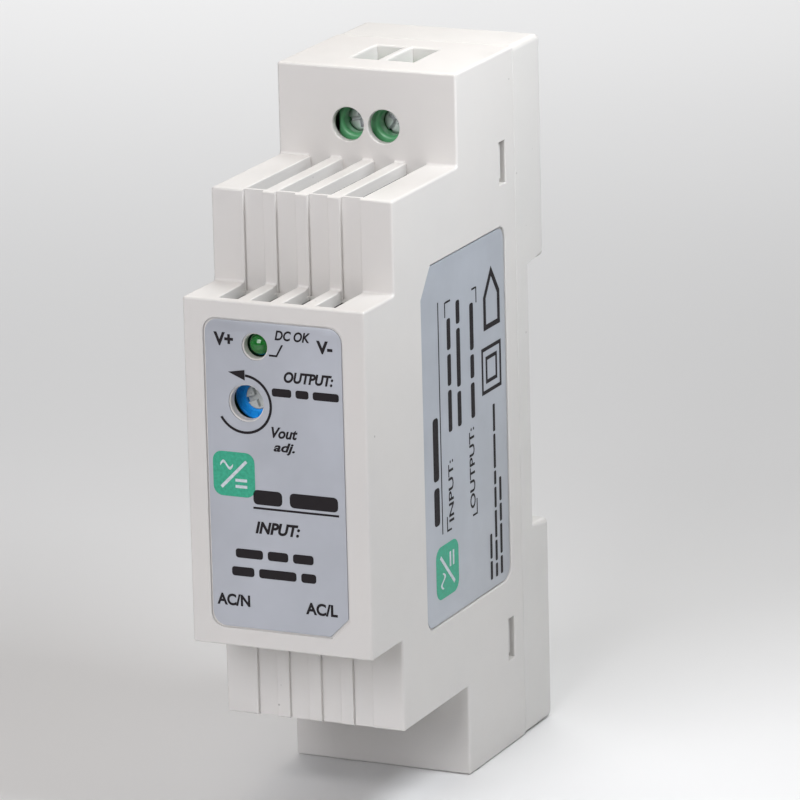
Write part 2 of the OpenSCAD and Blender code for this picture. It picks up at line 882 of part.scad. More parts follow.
front_housing();
rear_housing();
rail_latch();
latch_spring();
front_label();
side_label();
main_board();
riser_board();
front_board();
status_led();
trimmer_body();
trimmer_rotor();
terminal_block(1);  // output_terminal_block
terminal_block(-1);  // input_terminal_block
contact_strips(1);  // output_contacts
contact_strips(-1);  // input_contacts
clamp_screw(1, 0);  // output_plus_screw
clamp_screw(1, 1);  // output_minus_screw
clamp_screw(-1, 0);  // input_neutral_screw
clamp_screw(-1, 1);  // input_line_screw
clamp_cage(1, 0);  // output_plus_clamp
clamp_cage(1, 1);  // output_minus_clamp
clamp_cage(-1, 0);  // input_neutral_clamp
clamp_cage(-1, 1);  // input_line_clamp
fuse();
varistor();
inrush_thermistor();
x2_capacitor();
choke_core();
choke_windings();
bridge_rectifier();
input_capacitor();
switching_transistor();
heat_sink();
heat_sink_screw();
transformer_core();
transformer_bobbin();
transformer_winding();
y_capacitor();
output_diode();
output_inductor();
output_capacitors();
controller_chip();
optocoupler();
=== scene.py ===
"""Looks of a slim DIN rail power supply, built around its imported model.

Shapes are worked out in millimetres and scaled to metres when a piece is made.
Heights named rise are above the middle of the body, which lies a little above the rail's centreline.
"""

import json
import math

import bmesh
import bpy
from mathutils import Matrix, Vector


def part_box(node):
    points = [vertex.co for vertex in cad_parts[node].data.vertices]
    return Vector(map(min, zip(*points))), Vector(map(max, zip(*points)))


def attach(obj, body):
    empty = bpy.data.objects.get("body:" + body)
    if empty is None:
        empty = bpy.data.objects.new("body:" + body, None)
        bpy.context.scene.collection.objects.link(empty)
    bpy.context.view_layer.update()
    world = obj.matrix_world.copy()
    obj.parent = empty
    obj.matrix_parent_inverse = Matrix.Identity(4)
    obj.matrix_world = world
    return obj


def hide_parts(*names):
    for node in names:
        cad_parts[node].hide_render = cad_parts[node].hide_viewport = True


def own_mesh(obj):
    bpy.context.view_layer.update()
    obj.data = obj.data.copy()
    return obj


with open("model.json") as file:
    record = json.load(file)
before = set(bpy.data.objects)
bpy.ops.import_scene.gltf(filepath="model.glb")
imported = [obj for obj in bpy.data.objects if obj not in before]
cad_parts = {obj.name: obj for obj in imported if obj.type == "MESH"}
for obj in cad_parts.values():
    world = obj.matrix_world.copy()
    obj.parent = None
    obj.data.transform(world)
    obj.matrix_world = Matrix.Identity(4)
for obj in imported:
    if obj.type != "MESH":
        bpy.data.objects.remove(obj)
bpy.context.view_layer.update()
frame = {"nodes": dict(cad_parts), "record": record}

MM = 0.001
TAU = 2 * math.pi


def box_mm(node):
    """The lowest and highest corner of a CAD node, in millimetres."""
    low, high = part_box(node)
    return low / MM, high / MM


# ---------------------------------------------------------------- sizes, in millimetres

SHELL_LOW, SHELL_HIGH = box_mm("front_housing")
REAR_LOW, REAR_HIGH = box_mm("rear_housing")
FRONT_FILM = box_mm("front_label")
SIDE_FILM = box_mm("side_label")
TRIMMER = box_mm("trimmer_body")
ROTOR = box_mm("trimmer_rotor")
LAMP = box_mm("status_led")
SPRING = box_mm("latch_spring")

MID_Z = (SHELL_LOW.z + SHELL_HIGH.z) / 2
HALF_W = SHELL_HIGH.x
HALF_H = SHELL_HIGH.z - MID_Z
FRONT_Y = SHELL_LOW.y
SEAM_Y = SHELL_HIGH.y
BACK_Y = REAR_HIGH.y
NOSE_HALF = 22.5
SHOULDER_HALF = 34.5
SHOULDER_Y = FRONT_Y + 9
BLOCK_Y = SHOULDER_Y + 20
WALL = 2.0

EDGE_R = 1.0
HOLLOW_R = 0.35
SEAM_R = 0.12
FINE_LIP_R = 0.15

VENT_COUNT = 4
VENT_W = 2.7
VENT_PITCH = 4.47
VENT_LIP = 1.0
VENT_THINNING = 0.5
GROOVE_DEPTH = 0.5

TERMINAL_X = -0.2
POLE_PITCH = 5.0
TERMINAL_RISE = 39.0
DRIVER_R = 2.2
DRIVER_THINNING = 1.0
ENTRY_W = 3.9
ENTRY_LOW_Y = -16.2
ENTRY_HIGH_Y = -7.7
ENTRY_LIP_R = 0.3

RECESS = 0.35
FILM_GAP = 0.2
FILM_R = 1.8
INK_T = 0.02

LAMP_X = (LAMP[0].x + LAMP[1].x) / 2
LAMP_RISE = (LAMP[0].z + LAMP[1].z) / 2 - MID_Z
LAMP_HOLE_R = 1.6
TRIMMER_X = (TRIMMER[0].x + TRIMMER[1].x) / 2
TRIMMER_RISE = (TRIMMER[0].z + TRIMMER[1].z) / 2 - MID_Z
TRIMMER_HOLE_R = 2.25
CONTROL_THINNING = 0.6
PRINT_RISE = 0.38

WINDOW_Y = (-8.4, -6.4)
WINDOW_RISE = 32.0
WINDOW_H = 5.6
WINDOW_LIP_R = 0.2
TONGUE_HALF = 2.3

SEAT_HALF = 17.8
POLES = ("output_plus", "output_minus", "input_neutral", "input_line")

# Vertices closer than WELD are joined, and NEAR tells whether one lies on a face
WELD = 0.002
NEAR = 0.01

# Directions of the five working planes: local X, local Y, and local Z out of the surface
ON_FRONT = Matrix(((1, 0, 0, 0), (0, 0, -1, 0), (0, 1, 0, MID_Z), (0, 0, 0, 1)))
ON_SIDE = Matrix(((0, 0, 1, 0), (0, -1, 0, 0), (1, 0, 0, MID_Z), (0, 0, 0, 1)))
ON_LEFT = Matrix(((0, 0, -1, 0), (0, 1, 0, 0), (1, 0, 0, MID_Z), (0, 0, 0, 1)))
ON_TOP = Matrix(((1, 0, 0, 0), (0, 1, 0, 0), (0, 0, 1, MID_Z), (0, 0, 0, 1)))
ON_BASE = Matrix(((1, 0, 0, 0), (0, -1, 0, 0), (0, 0, -1, MID_Z), (0, 0, 0, 1)))


def at(x, y, z):
    return Matrix.Translation((x, y, z))


# ---------------------------------------------------------------- materials

def add(tree, kind, props=None, **sockets):
    """Adds a shader node. A socket takes a value, or another node's output to link to."""
    made = tree.nodes.new("ShaderNode" + kind)
    for key, value in (props or {}).items():
        setattr(made, key, value)
    for key, value in sockets.items():
        socket = made.inputs[key.replace("_", " ")]
        if isinstance(value, bpy.types.NodeSocket):
            tree.links.new(value, socket)
        else:
            socket.default_value = value
    return made


def noise(tree, place, scale, detail=3.0, rough=0.55):
    return add(tree, "TexNoise", Vector=place, Scale=scale, Detail=detail, Roughness=rough).outputs["Fac"]


def spread(tree, value, low, high):
    """Maps a noise value, which lies mostly between 0.3 and 0.7, to the range from low to high."""
    sockets = {"Value": value, "From_Min": 0.3, "From_Max": 0.7, "To_Min": low, "To_Max": high}
    return add(tree, "MapRange", **sockets).outputs["Result"]


def tint(tree, factor, dark, light):
    """A colour between two, by factor."""
    ramp = add(tree, "ValToRGB", Fac=factor)
    ramp.color_ramp.elements[0].position = 0.3
    ramp.color_ramp.elements[0].color = (*dark, 1)
    ramp.color_ramp.elements[1].position = 0.7
    ramp.color_ramp.elements[1].color = (*light, 1)
    return ramp.outputs["Color"]


def scaled(colour, factor):
    return tuple(min(1.0, c * factor) for c in colour)


def new_material(name):
    material = bpy.data.materials.new(name)
    material.use_nodes = True
    tree = material.node_tree
    tree.nodes.clear()
    shader = add(tree, "BsdfPrincipled")
    output = add(tree, "OutputMaterial")
    tree.links.new(shader.outputs["BSDF"], output.inputs["Surface"])
    place = add(tree, "TexCoord").outputs["Object"]
    return material, tree, shader, place


def link(tree, source, shader, socket):
    tree.links.new(source, shader.inputs[socket])


def bump(tree, shader, height, strength, depth_mm):
    made = add(tree, "Bump", Height=height, Strength=strength, Distance=depth_mm * MM)
    link(tree, made.outputs["Normal"], shader, "Normal")


def moulded(name, colour, rough, grain_mm, grain, mottle, coat=0.0, warm=0.0, specks=0.0):
    """Moulded plastic: fine spark-eroded grain, slow changes of colour and gloss, and a few dust specks."""
    material, tree, shader, place = new_material(name)
    cloud = noise(tree, place, 60, 4)
    dark = (colour[0] * (1 - mottle - warm), colour[1] * (1 - mottle), colour[2] * (1 - mottle + warm))
    light = (colour[0] * (1 + mottle + warm), colour[1] * (1 + mottle), colour[2] * (1 + mottle - warm))
    base = tint(tree, cloud, dark, light)
    if specks:
        spots = add(tree, "TexVoronoi", {"feature": "F1"}, Vector=place, Scale=170.0, Randomness=1.0)
        mask = add(tree, "MapRange", Value=spots.outputs["Distance"], From_Min=0.018, From_Max=0.03,
                   To_Min=specks, To_Max=0.0).outputs["Result"]
        mixed = add(tree, "Mix", {"data_type": "RGBA"})
        tree.links.new(mask, mixed.inputs["Factor"])
        tree.links.new(base, mixed.inputs["A"])
        mixed.inputs["B"].default_value = (0.10, 0.09, 0.08, 1)
        base = mixed.outputs["Result"]
    link(tree, base, shader, "Base Color")
    fine = noise(tree, place, 1 / (grain_mm * MM), 2, 0.6)
    link(tree, spread(tree, noise(tree, place, 300, 5), rough - 0.05, rough + 0.06), shader, "Roughness")
    bump(tree, shader, fine, grain, 0.03)
    shader.inputs["Coat Weight"].default_value = coat
    shader.inputs["Coat Roughness"].default_value = 0.2
    return material


def metal(name, colour, rough, brush, grain):
    """Plated or drawn metal: streaks along the direction that brush shortens, stains and uneven gloss."""
    material, tree, shader, place = new_material(name)
    stretched = add(tree, "Mapping", Vector=place, Scale=brush).outputs["Vector"]
    streak = noise(tree, stretched, 9000, 3)
    stain = noise(tree, place, 700, 5)
    link(tree, tint(tree, stain, scaled(colour, 0.82), scaled(colour, 1.06)), shader, "Base Color")
    link(tree, spread(tree, streak, rough - 0.08, rough + 0.12), shader, "Roughness")
    bump(tree, shader, streak, grain, 0.01)
    shader.inputs["Metallic"].default_value = 1.0
    return material


def film(name, colour):
    """Satin silver film: faint clouding, and gloss that changes slowly over its face."""
    material, tree, shader, place = new_material(name)
    cloud = noise(tree, place, 110, 3)
    link(tree, tint(tree, cloud, scaled(colour, 0.95), scaled(colour, 1.05)), shader, "Base Color")
    link(tree, spread(tree, noise(tree, place, 240, 4), 0.30, 0.42), shader, "Roughness")
    ripple = noise(tree, place, 160, 2)
    bump(tree, shader, ripple, 0.25, 0.12)
    shader.inputs["Metallic"].default_value = 0.2
    shader.inputs["Coat Weight"].default_value = 0.3
    shader.inputs["Coat Roughness"].default_value = 0.25
    return material


def ink(name, colour, rough):
    """Printed ink, a little uneven where it lies thin."""
    material, tree, shader, place = new_material(name)
    wear = noise(tree, place, 2600, 4)
    link(tree, tint(tree, wear, scaled(colour, 0.9), scaled(colour, 1.25)), shader, "Base Color")
    link(tree, spread(tree, wear, rough - 0.08, rough + 0.08), shader, "Roughness")
    shader.inputs["Specular IOR Level"].default_value = 0.25
    return material


def epoxy_lens(name, colour):
    """Tinted clear epoxy of a lamp, with a faint cloud inside."""
    material, tree, shader, place = new_material(name)
    cloud = noise(tree, place, 900, 2)
    link(tree, tint(tree, cloud, scaled(colour, 0.8), scaled(colour, 1.25)), shader, "Base Color")
    link(tree, spread(tree, cloud, 0.06, 0.12), shader, "Roughness")
    shader.inputs["Transmission Weight"].default_value = 0.25
    shader.inputs["Subsurface Weight"].default_value = 0.3
    shader.inputs["Subsurface Radius"].default_value = (0.2, 1.0, 0.3)
    shader.inputs["Subsurface Scale"].default_value = 0.6 * MM
    shader.inputs["Coat Weight"].default_value = 0.6
    shader.inputs["Coat Roughness"].default_value = 0.05
    return material


def laminate(name):
    """Green solder mask over copper tracks and glass cloth."""
    material, tree, shader, place = new_material(name)
    cells = add(tree, "TexBrick", Vector=place, Scale=240.0, Mortar_Size=0.06,
                Color1=(0.02, 0.13, 0.06, 1), Color2=(0.03, 0.17, 0.08, 1), Mortar=(0.01, 0.08, 0.035, 1))
    weave = add(tree, "TexWave", Vector=place, Scale=900.0, Distortion=1.0).outputs["Fac"]
    link(tree, cells.outputs["Color"], shader, "Base Color")
    link(tree, spread(tree, noise(tree, place, 800), 0.25, 0.4), shader, "Roughness")
    bump(tree, shader, weave, 0.2, 0.02)
    return material


def wound(name, colour, turn_mm, rough):
    """Layers of wire or tape: ribs one turn wide along Z, with streaks of gloss, and painted shade that
    darkens the colour in the valleys between turns.
    """
    material, tree, shader, place = new_material(name)
    ribs = add(tree, "TexWave", {"bands_direction": "Z", "wave_profile": "SIN"}, Vector=place,
               Scale=1 / (turn_mm * MM * 20), Distortion=0.6, Detail=1.0).outputs["Fac"]
    # painted shade: the colour follows the ribs and is darkest in the valleys between turns
    link(tree, tint(tree, ribs, scaled(colour, 0.55), scaled(colour, 1.1)), shader, "Base Color")
    link(tree, spread(tree, noise(tree, place, 900), rough - 0.08, rough + 0.08), shader, "Roughness")
    bump(tree, shader, ribs, 0.6, 0.1)
    return material


# Colour, roughness, grain size and strength, then mottle, coat, warmth and specks where they differ
MOULDED = {
    "housing_grey": ((0.69, 0.67, 0.65), 0.40, 0.16, 0.22, 0.012, 0.12, 0.004, 0.5),
    "rear_grey": ((0.69, 0.675, 0.655), 0.42, 0.16, 0.22, 0.012, 0.1, 0.004, 0.4),
    "latch_grey": ((0.42, 0.43, 0.44), 0.45, 0.14, 0.2, 0.03),
    "trimmer_blue": ((0.01, 0.34, 0.92), 0.32, 0.1, 0.1, 0.05, 0.2),
    "rotor_grey": ((0.62, 0.64, 0.62), 0.38, 0.08, 0.2, 0.05),
    "terminal_green": ((0.12, 0.42, 0.19), 0.35, 0.1, 0.15, 0.08, 0.2),
    "black_case": ((0.03, 0.03, 0.03), 0.35, 0.1, 0.2, 0.1),
    "blue_coating": ((0.03, 0.10, 0.42), 0.25, 0.6, 0.3, 0.1, 0.4),
    "green_coating": ((0.03, 0.07, 0.05), 0.3, 0.6, 0.3, 0.1, 0.3),
    "yellow_case": ((0.80, 0.52, 0.04), 0.3, 0.2, 0.15, 0.05, 0.2),
    "ferrite": ((0.05, 0.05, 0.055), 0.6, 0.08, 0.5, 0.2),
    "chip_black": ((0.03, 0.03, 0.032), 0.5, 0.06, 0.4, 0.1),
    "capacitor_sleeve": ((0.04, 0.05, 0.10), 0.25, 0.8, 0.15, 0.1, 0.4),
    "bobbin_black": ((0.03, 0.03, 0.03), 0.45, 0.1, 0.3, 0.1),
    "white_case": ((0.72, 0.72, 0.68), 0.45, 0.1, 0.2, 0.03),
}
# Colour, roughness, how far each axis is stretched by brushing, and strength of the streaks
METALS = {
    "spring_steel": ((0.62, 0.63, 0.65), 0.22, (1, 1, 1), 0.15),
    "tinned_brass": ((0.66, 0.60, 0.42), 0.3, (1, 0.05, 1), 0.15),
    "zinc_screw": ((0.90, 0.91, 0.92), 0.5, (1, 1, 1), 0.04),
    "clamp_steel": ((0.60, 0.61, 0.62), 0.3, (1, 1, 0.05), 0.15),
    "sink_aluminium": ((0.70, 0.71, 0.72), 0.32, (1, 1, 0.04), 0.15),
}
MATERIALS = {
    "front_film": film("front_film", (0.47, 0.49, 0.54)),
    "side_film": film("side_film", (0.46, 0.49, 0.54)),
    "board_laminate": laminate("board_laminate"),
    "led_green": epoxy_lens("led_green", (0.02, 0.24, 0.04)),
    "copper_wire": wound("copper_wire", (0.55, 0.20, 0.07), 0.5, 0.25),
    "winding_tape": wound("winding_tape", (0.80, 0.50, 0.05), 3.0, 0.25),
}
MATERIALS.update({name: moulded(name, *look) for name, look in MOULDED.items()})
MATERIALS.update({name: metal(name, *look) for name, look in METALS.items()})
INK_DARK = ink("ink_dark", (0.012, 0.009, 0.011), 0.6)
INK_GREEN = ink("ink_green", (0.045, 0.36, 0.23), 0.42)
INK_PALE = ink("ink_pale", (0.55, 0.60, 0.64), 0.42)


# ---------------------------------------------------------------- mesh tools

def new_object(name, data):
    """An object in the scene that shows this mesh, curve, light or camera."""
    made = bpy.data.objects.new(name, data)
    bpy.context.scene.collection.objects.link(made)
    return made


def new_mesh(name, bm):
    """A mesh with a bmesh's shape. The bmesh is used up."""
    mesh = bpy.data.meshes.new(name)
    bm.to_mesh(mesh)
    bm.free()
    return mesh


def combined(body, tools, operation="DIFFERENCE"):
    """Cuts each of a list of bmeshes from body, or adds them to it, and gives the result as a bmesh."""
    base, *parts = [new_object("scratch", new_mesh("scratch", bm)) for bm in (body, *tools)]
    for part in parts:
        step = base.modifiers.new("step", "BOOLEAN")
        step.operation = operation
        step.solver = "MANIFOLD"
        step.object = part
    graph = bpy.context.evaluated_depsgraph_get()
    mesh = bpy.data.meshes.new_from_object(base.evaluated_get(graph))
    result = bmesh.new()
    result.from_mesh(mesh)
    bmesh.ops.remove_doubles(result, verts=result.verts, dist=WELD)
    for scratch in [base] + parts:
        old = scratch.data
        bpy.data.objects.remove(scratch)
        bpy.data.meshes.remove(old)
    bpy.data.meshes.remove(mesh)
    return result


def soften(bm, radius, steps, chosen):
    """Rounds the edges that chosen picks."""
    edges = [e for e in bm.edges if chosen(e)]
    bmesh.ops.bevel(bm, geom=edges, offset=radius, segments=steps, profile=0.5, affect="EDGES",
                    clamp_overlap=True, loop_slide=False)
    return bm


def corner_edge(edge, degrees=30):
    """Whether two faces meet at an outward corner sharper than this angle."""
    return len(edge.link_faces) == 2 and edge.is_convex and edge.calc_face_angle(0) > math.radians(degrees)


def stack(loops):
    """A closed solid through loops of points, with a flat cap at each end. A loop of one point is a tip."""
    bm = bmesh.new()
    rings = [[bm.verts.new(p) for p in loop] for loop in loops]
    for low, high in zip(rings, rings[1:]):
        count = max(len(low), len(high))
        for i in range(count):
            j = (i + 1) % count
            quad = [low[i % len(low)], low[j % len(low)], high[j % len(high)], high[i % len(high)]]
            bm.faces.new(list(dict.fromkeys(quad)))
    for ring, turned in ((rings[0], True), (rings[-1], False)):
        if len(ring) > 2:
            bm.faces.new(ring[::-1] if turned else ring)
    bmesh.ops.recalc_face_normals(bm, faces=bm.faces)
    return bm


def circle(r, count=48, x=0.0, y=0.0):
    return [(x + r * math.cos(TAU * i / count), y + r * math.sin(TAU * i / count)) for i in range(count)]


def rectangle(x0, y0, x1, y1):
    return [(x0, y0), (x1, y0), (x1, y1), (x0, y1)]


def arc(cx, cy, r, start, end, count=6):
    """Points of an arc, with its angles in degrees."""
    angles = [math.radians(start + (end - start) * i / count) for i in range(count + 1)]
    return [(cx + r * math.cos(a), cy + r * math.sin(a)) for a in angles]


def rounded(x0, y0, x1, y1, r, count=6):
    """A rectangle with round corners."""
    return (arc(x1 - r, y1 - r, r, 0, 90, count) + arc(x0 + r, y1 - r, r, 90, 180, count)
            + arc(x0 + r, y0 + r, r, 180, 270, count) + arc(x1 - r, y0 + r, r, 270, 360, count))


def grown(outline, by):
    """The outline moved outwards by a distance. It runs anticlockwise."""
    result = []
    for i, here in enumerate(outline):
        p = Vector(here)
        before = (p - Vector(outline[i - 1])).normalized()
        after = (Vector(outline[(i + 1) % len(outline)]) - p).normalized()
        out_a = Vector((before.y, -before.x))
        out_b = Vector((after.y, -after.x))
        middle = (out_a + out_b).normalized()
        result.append(tuple(p + middle * by / max(0.3, middle.dot(out_a))))
    return result


def flare(lip, steps):
    """How far a lip rounded outwards has widened, and its height below the surface, step by step."""
    angles = [math.pi / 2 * i / steps for i in range(steps + 1)]
    return [(lip * (1 - math.cos(a)), lip * (math.sin(a) - 1)) for a in angles]


def mouth(outline, depth, lip):
    """A cutter that goes depth deep and opens with a lip rounded outwards. Local Z points out."""
    above = 1.5
    loops = [[(x, y, -depth) for x, y in outline]]
    for wider, height in flare(lip, 4):
        loops.append([(x, y, height) for x, y in grown(outline, wider)])
    loops.append([(x, y, above) for x, y in grown(outline, lip)])
    return stack(loops)


def slab(outline, low, high):
    """A flat plate of an outline, between two local heights."""
    return stack([[(x, y, low) for x, y in outline], [(x, y, high) for x, y in outline]])


def box(low, high):
    """A plain box for cutting or adding."""
    return slab(rectangle(low[0], low[1], high[0], high[1]), low[2], high[2])


def side_prism(outline, width):
    """A solid of a (y, height) outline, as wide as width across X."""
    return stack([[(x, y, z) for y, z in outline] for x in (-width / 2, width / 2)])


def lathe(profile, count=48):
    """A solid turned about local Z, from (radius, height) points listed from one end to the other."""
    return stack([[(x, y, h) for x, y in circle(r, count)] if r > 0 else [(0, 0, h)] for r, h in profile])


def moved(bm, *steps):
    """Moves a bmesh by each matrix in turn, the last one listed first."""
    for step in reversed(steps):
        bmesh.ops.transform(bm, matrix=step, verts=bm.verts)
    if bm.faces and sum(f.calc_area() for f in bm.faces) and bm.calc_volume(signed=True) < 0:
        bmesh.ops.reverse_faces(bm, faces=bm.faces)
    return bm


def merged(*parts):
    """One bmesh that holds several, side by side."""
    whole = bmesh.new()
    for part in parts:
        mesh = new_mesh("scratch", part)
        whole.from_mesh(mesh)
        bpy.data.meshes.remove(mesh)
    return whole


def make(name, bm, slot, body="case", replaces=(), material=None, flat_angle=32, weighted=True):
    """Turns a bmesh in millimetres into a piece that rides on a body."""
    bmesh.ops.transform(bm, matrix=Matrix.Scale(MM, 4), verts=bm.verts)
    for face in bm.faces:
        face.smooth = True
    for edge in bm.edges:
        edge.smooth = len(edge.link_faces) == 2 and edge.calc_face_angle(0) < math.radians(flat_angle)
    made = new_object(name, new_mesh(name, bm))
    made.data.materials.append(material or MATERIALS[slot])
    if weighted:
        normals = made.modifiers.new("normals", "WEIGHTED_NORMAL")
        normals.keep_sharp = True
    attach(made, body)
    if replaces:
        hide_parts(*replaces)
    return made


def softened_copy(node, radius, slot, body):
    """A copy of a CAD node with its outward edges rounded, which stands for the node."""
    bm = bmesh.new()
    bm.from_mesh(frame["nodes"][node].data)
    bmesh.ops.transform(bm, matrix=Matrix.Scale(1 / MM, 4), verts=bm.verts)
    bmesh.ops.remove_doubles(bm, verts=bm.verts, dist=WELD)
    bmesh.ops.dissolve_limit(bm, angle_limit=math.radians(0.6), verts=bm.verts, edges=bm.edges)
    soften(bm, radius, 2, lambda e: corner_edge(e, 40))
    make(node + "_body", bm, slot, body, (node,))


# ---------------------------------------------------------------- housings

def stepped_outline(inset, back, fillet):
    """The stepped side view as (y, rise) points, anticlockwise, with its hollow corners filleted."""
    block, shoulder, nose = HALF_H - inset, SHOULDER_HALF - inset, NOSE_HALF - inset
    y0, y1, y2 = FRONT_Y + inset, SHOULDER_Y + inset, BLOCK_Y + inset
    steps = [((y2, -shoulder), (y1, -shoulder)), ((y1, -nose), (y0, -nose))]
    # from the back along the underside to the front, then mirrored over the top
    lower = [(back, -block), (y2, -block)]
    for (hollow_y, hollow_rise), corner in steps:
        if fillet:
            lower += arc(hollow_y - fillet, hollow_rise - fillet, fillet, 0, 90, 3)
        else:
            lower.append((hollow_y, hollow_rise))
        lower.append(corner)
    return lower + [(y, -rise) for y, rise in reversed(lower)]


def stepped_solid(inset, back, width, fillet):
    outline = stepped_outline(inset, back, fillet)
    return side_prism([(y, rise + MID_Z) for y, rise in outline], width)


def vent_columns():
    """The middle of each column of vent slots."""
    return [(i - (VENT_COUNT - 1) / 2) * VENT_PITCH for i in range(VENT_COUNT)]


def vent_cutters(surface, rise):
    """Slots through the shoulder's and the nose's walls, for the top or the underside, with rounded lips."""
    cutters = []
    side = 1 if surface is ON_TOP else -1
    spans = {SHOULDER_HALF: (SHOULDER_Y + VENT_LIP, BLOCK_Y), NOSE_HALF: (FRONT_Y + VENT_LIP, SHOULDER_Y)}
    near, far = spans[rise]
    low, high = sorted((side * near, side * far))
    for x in vent_columns():
        left, right = x - VENT_W / 2, x + VENT_W / 2
        levels = [(0, -WALL - 0.5)] + flare(FINE_LIP_R, 4) + [(FINE_LIP_R, 0.6)]
        loops = []
        for wider, height in levels:
            outline = rectangle(left - wider, low, right + wider, high)
            loops.append([(px, py, height) for px, py in outline])
        cutters.append(moved(stack(loops), surface, at(0, 0, rise)))
        if rise == NOSE_HALF:
            # the slot runs on, without lips, under the groove in the shoulder's face
            near_end, far_end = sorted((side * (far - 0.1), side * (far + GROOVE_DEPTH)))
            plain = slab(rectangle(left, near_end, right, far_end), -WALL - 0.4, 0.1)
            cutters.append(moved(plain, surface, at(0, 0, rise)))
    return cutters


def groove_cutters(side):
    """Shallow grooves down the shoulder's face, above or below the nose."""
    cutters = []
    half = VENT_W / 2
    low, high = sorted((side * (NOSE_HALF - 1), side * (SHOULDER_HALF + 1)))
    for x in vent_columns():
        profile = [(half + wider, height) for wider, height in flare(FINE_LIP_R, 3)]
        profile.append((half + FINE_LIP_R, 1))
        mirrored = [(-px, height) for px, height in reversed(profile)]
        outline = [(-half, -GROOVE_DEPTH), (half, -GROOVE_DEPTH)] + profile + mirrored
        loops = [[(x + px, SHOULDER_Y - height, z + MID_Z) for px, height in outline] for z in (low, high)]
        cutters.append(stack(loops))
    return cutters


def inner_pocket(outline, surface, face, depth):
    """A pocket cut from inside into the wall whose outer face lies at this local height."""
    inside = face - WALL
    return moved(slab(outline, inside - 0.3, inside + depth), surface)


def thinning_cutters():
    """Shallow pockets in the inner faces, which thin the walls around slots, holes and controls."""
    cutters = []
    half = VENT_COUNT * VENT_PITCH / 2
    reach = DRIVER_R + 0.7
    across = POLE_PITCH / 2 + DRIVER_R + 0.8
    for surface, side in ((ON_TOP, 1), (ON_BASE, -1)):
        for rise, front, back in ((SHOULDER_HALF, SHOULDER_Y, BLOCK_Y), (NOSE_HALF, FRONT_Y, SHOULDER_Y)):
            low, high = sorted((side * (front + WALL), side * (back + WALL)))
            cutters.append(inner_pocket(rectangle(-half, low, half, high), surface, rise, VENT_THINNING))
        middle = side * TERMINAL_RISE
        pocket = rectangle(TERMINAL_X - across, middle - reach, TERMINAL_X + across, middle + reach)
        cutters.append(inner_pocket(pocket, ON_FRONT, -BLOCK_Y, DRIVER_THINNING))
    low, high = min(LAMP_X, TRIMMER_X) - 3.6, max(LAMP_X, TRIMMER_X) + 3.6
    pocket = rectangle(low, TRIMMER_RISE - 3.4, high, LAMP_RISE + 2.6)
    cutters.append(inner_pocket(pocket, ON_FRONT, -FRONT_Y, CONTROL_THINNING))
    return cutters


def front_film_outline(grow=0.0):
    """Outline of the front label's recess or film, with one corner cut off."""
    low, high = FRONT_FILM
    left, right = low.x - grow, high.x + grow
    half = (high.z - low.z) / 2 + grow
    cut = 2.5
    return (arc(right - FILM_R, half - FILM_R, FILM_R, 0, 90)
            + arc(left + FILM_R, half - FILM_R, FILM_R, 90, 180)
            + arc(left + FILM_R, FILM_R - half, FILM_R, 180, 270)
            + [(right - cut, -half), (right, cut - half)])


def side_film_outline(grow=0.0):
    """Outline of the side label in its own plane: local X runs up, local Y runs to the front."""
    low, high = SIDE_FILM
    front, back = -low.y + grow, -high.y - grow
    half = (high.z - low.z) / 2 + grow
    cut_front, cut_up = 3.1, 3.9
    return ([(half, front - cut_front), (half - cut_up, front)]
            + arc(FILM_R - half, front - FILM_R, FILM_R, 90, 180)
            + arc(FILM_R - half, back + FILM_R, FILM_R, 180, 270)
            + arc(half - FILM_R, back + FILM_R, FILM_R, 270, 360))


def poles():
    """Name, place across and rise of each terminal."""
    places = [(side, pole) for side in (1, -1) for pole in (-0.5, 0.5)]
    return [(name, TERMINAL_X + pole * POLE_PITCH, side * TERMINAL_RISE)
            for name, (side, pole) in zip(POLES, places)]


def control_holes(grow=0.0):
    """Outlines of the lamp's and the trimmer's hole."""
    return [circle(LAMP_HOLE_R + grow, 48, LAMP_X, LAMP_RISE),
            circle(TRIMMER_HOLE_R + grow, 64, TRIMMER_X, TRIMMER_RISE)]


def pole_cutters():
    """A screwdriver hole and a wire entry for each terminal."""
    holes = []
    for _, x, rise in poles():
        hole = mouth(circle(DRIVER_R, 48, x, rise), WALL + 2, FINE_LIP_R)
        holes.append(moved(hole, ON_FRONT, at(0, 0, -BLOCK_Y)))
        surface, up = (ON_TOP, 1) if rise > 0 else (ON_BASE, -1)
        low, high = sorted((up * ENTRY_LOW_Y, up * ENTRY_HIGH_Y))
        entry = mouth(rectangle(x - ENTRY_W / 2, low, x + ENTRY_W / 2, high), WALL + 2, ENTRY_LIP_R)
        holes.append(moved(entry, surface, at(0, 0, HALF_H)))
    return holes


def window_cutters():
    """Windows for the snap tongues, high and low on both sides."""
    windows = []
    for surface, facing in ((ON_SIDE, -1), (ON_LEFT, 1)):
        front, back = sorted(facing * y for y in WINDOW_Y)
        for rise in (-WINDOW_RISE, WINDOW_RISE):
            window = rectangle(rise - WINDOW_H / 2, front, rise + WINDOW_H / 2, back)
            windows.append(moved(mouth(window, WALL + 1, WINDOW_LIP_R), surface, at(0, 0, HALF_W)))
    return windows


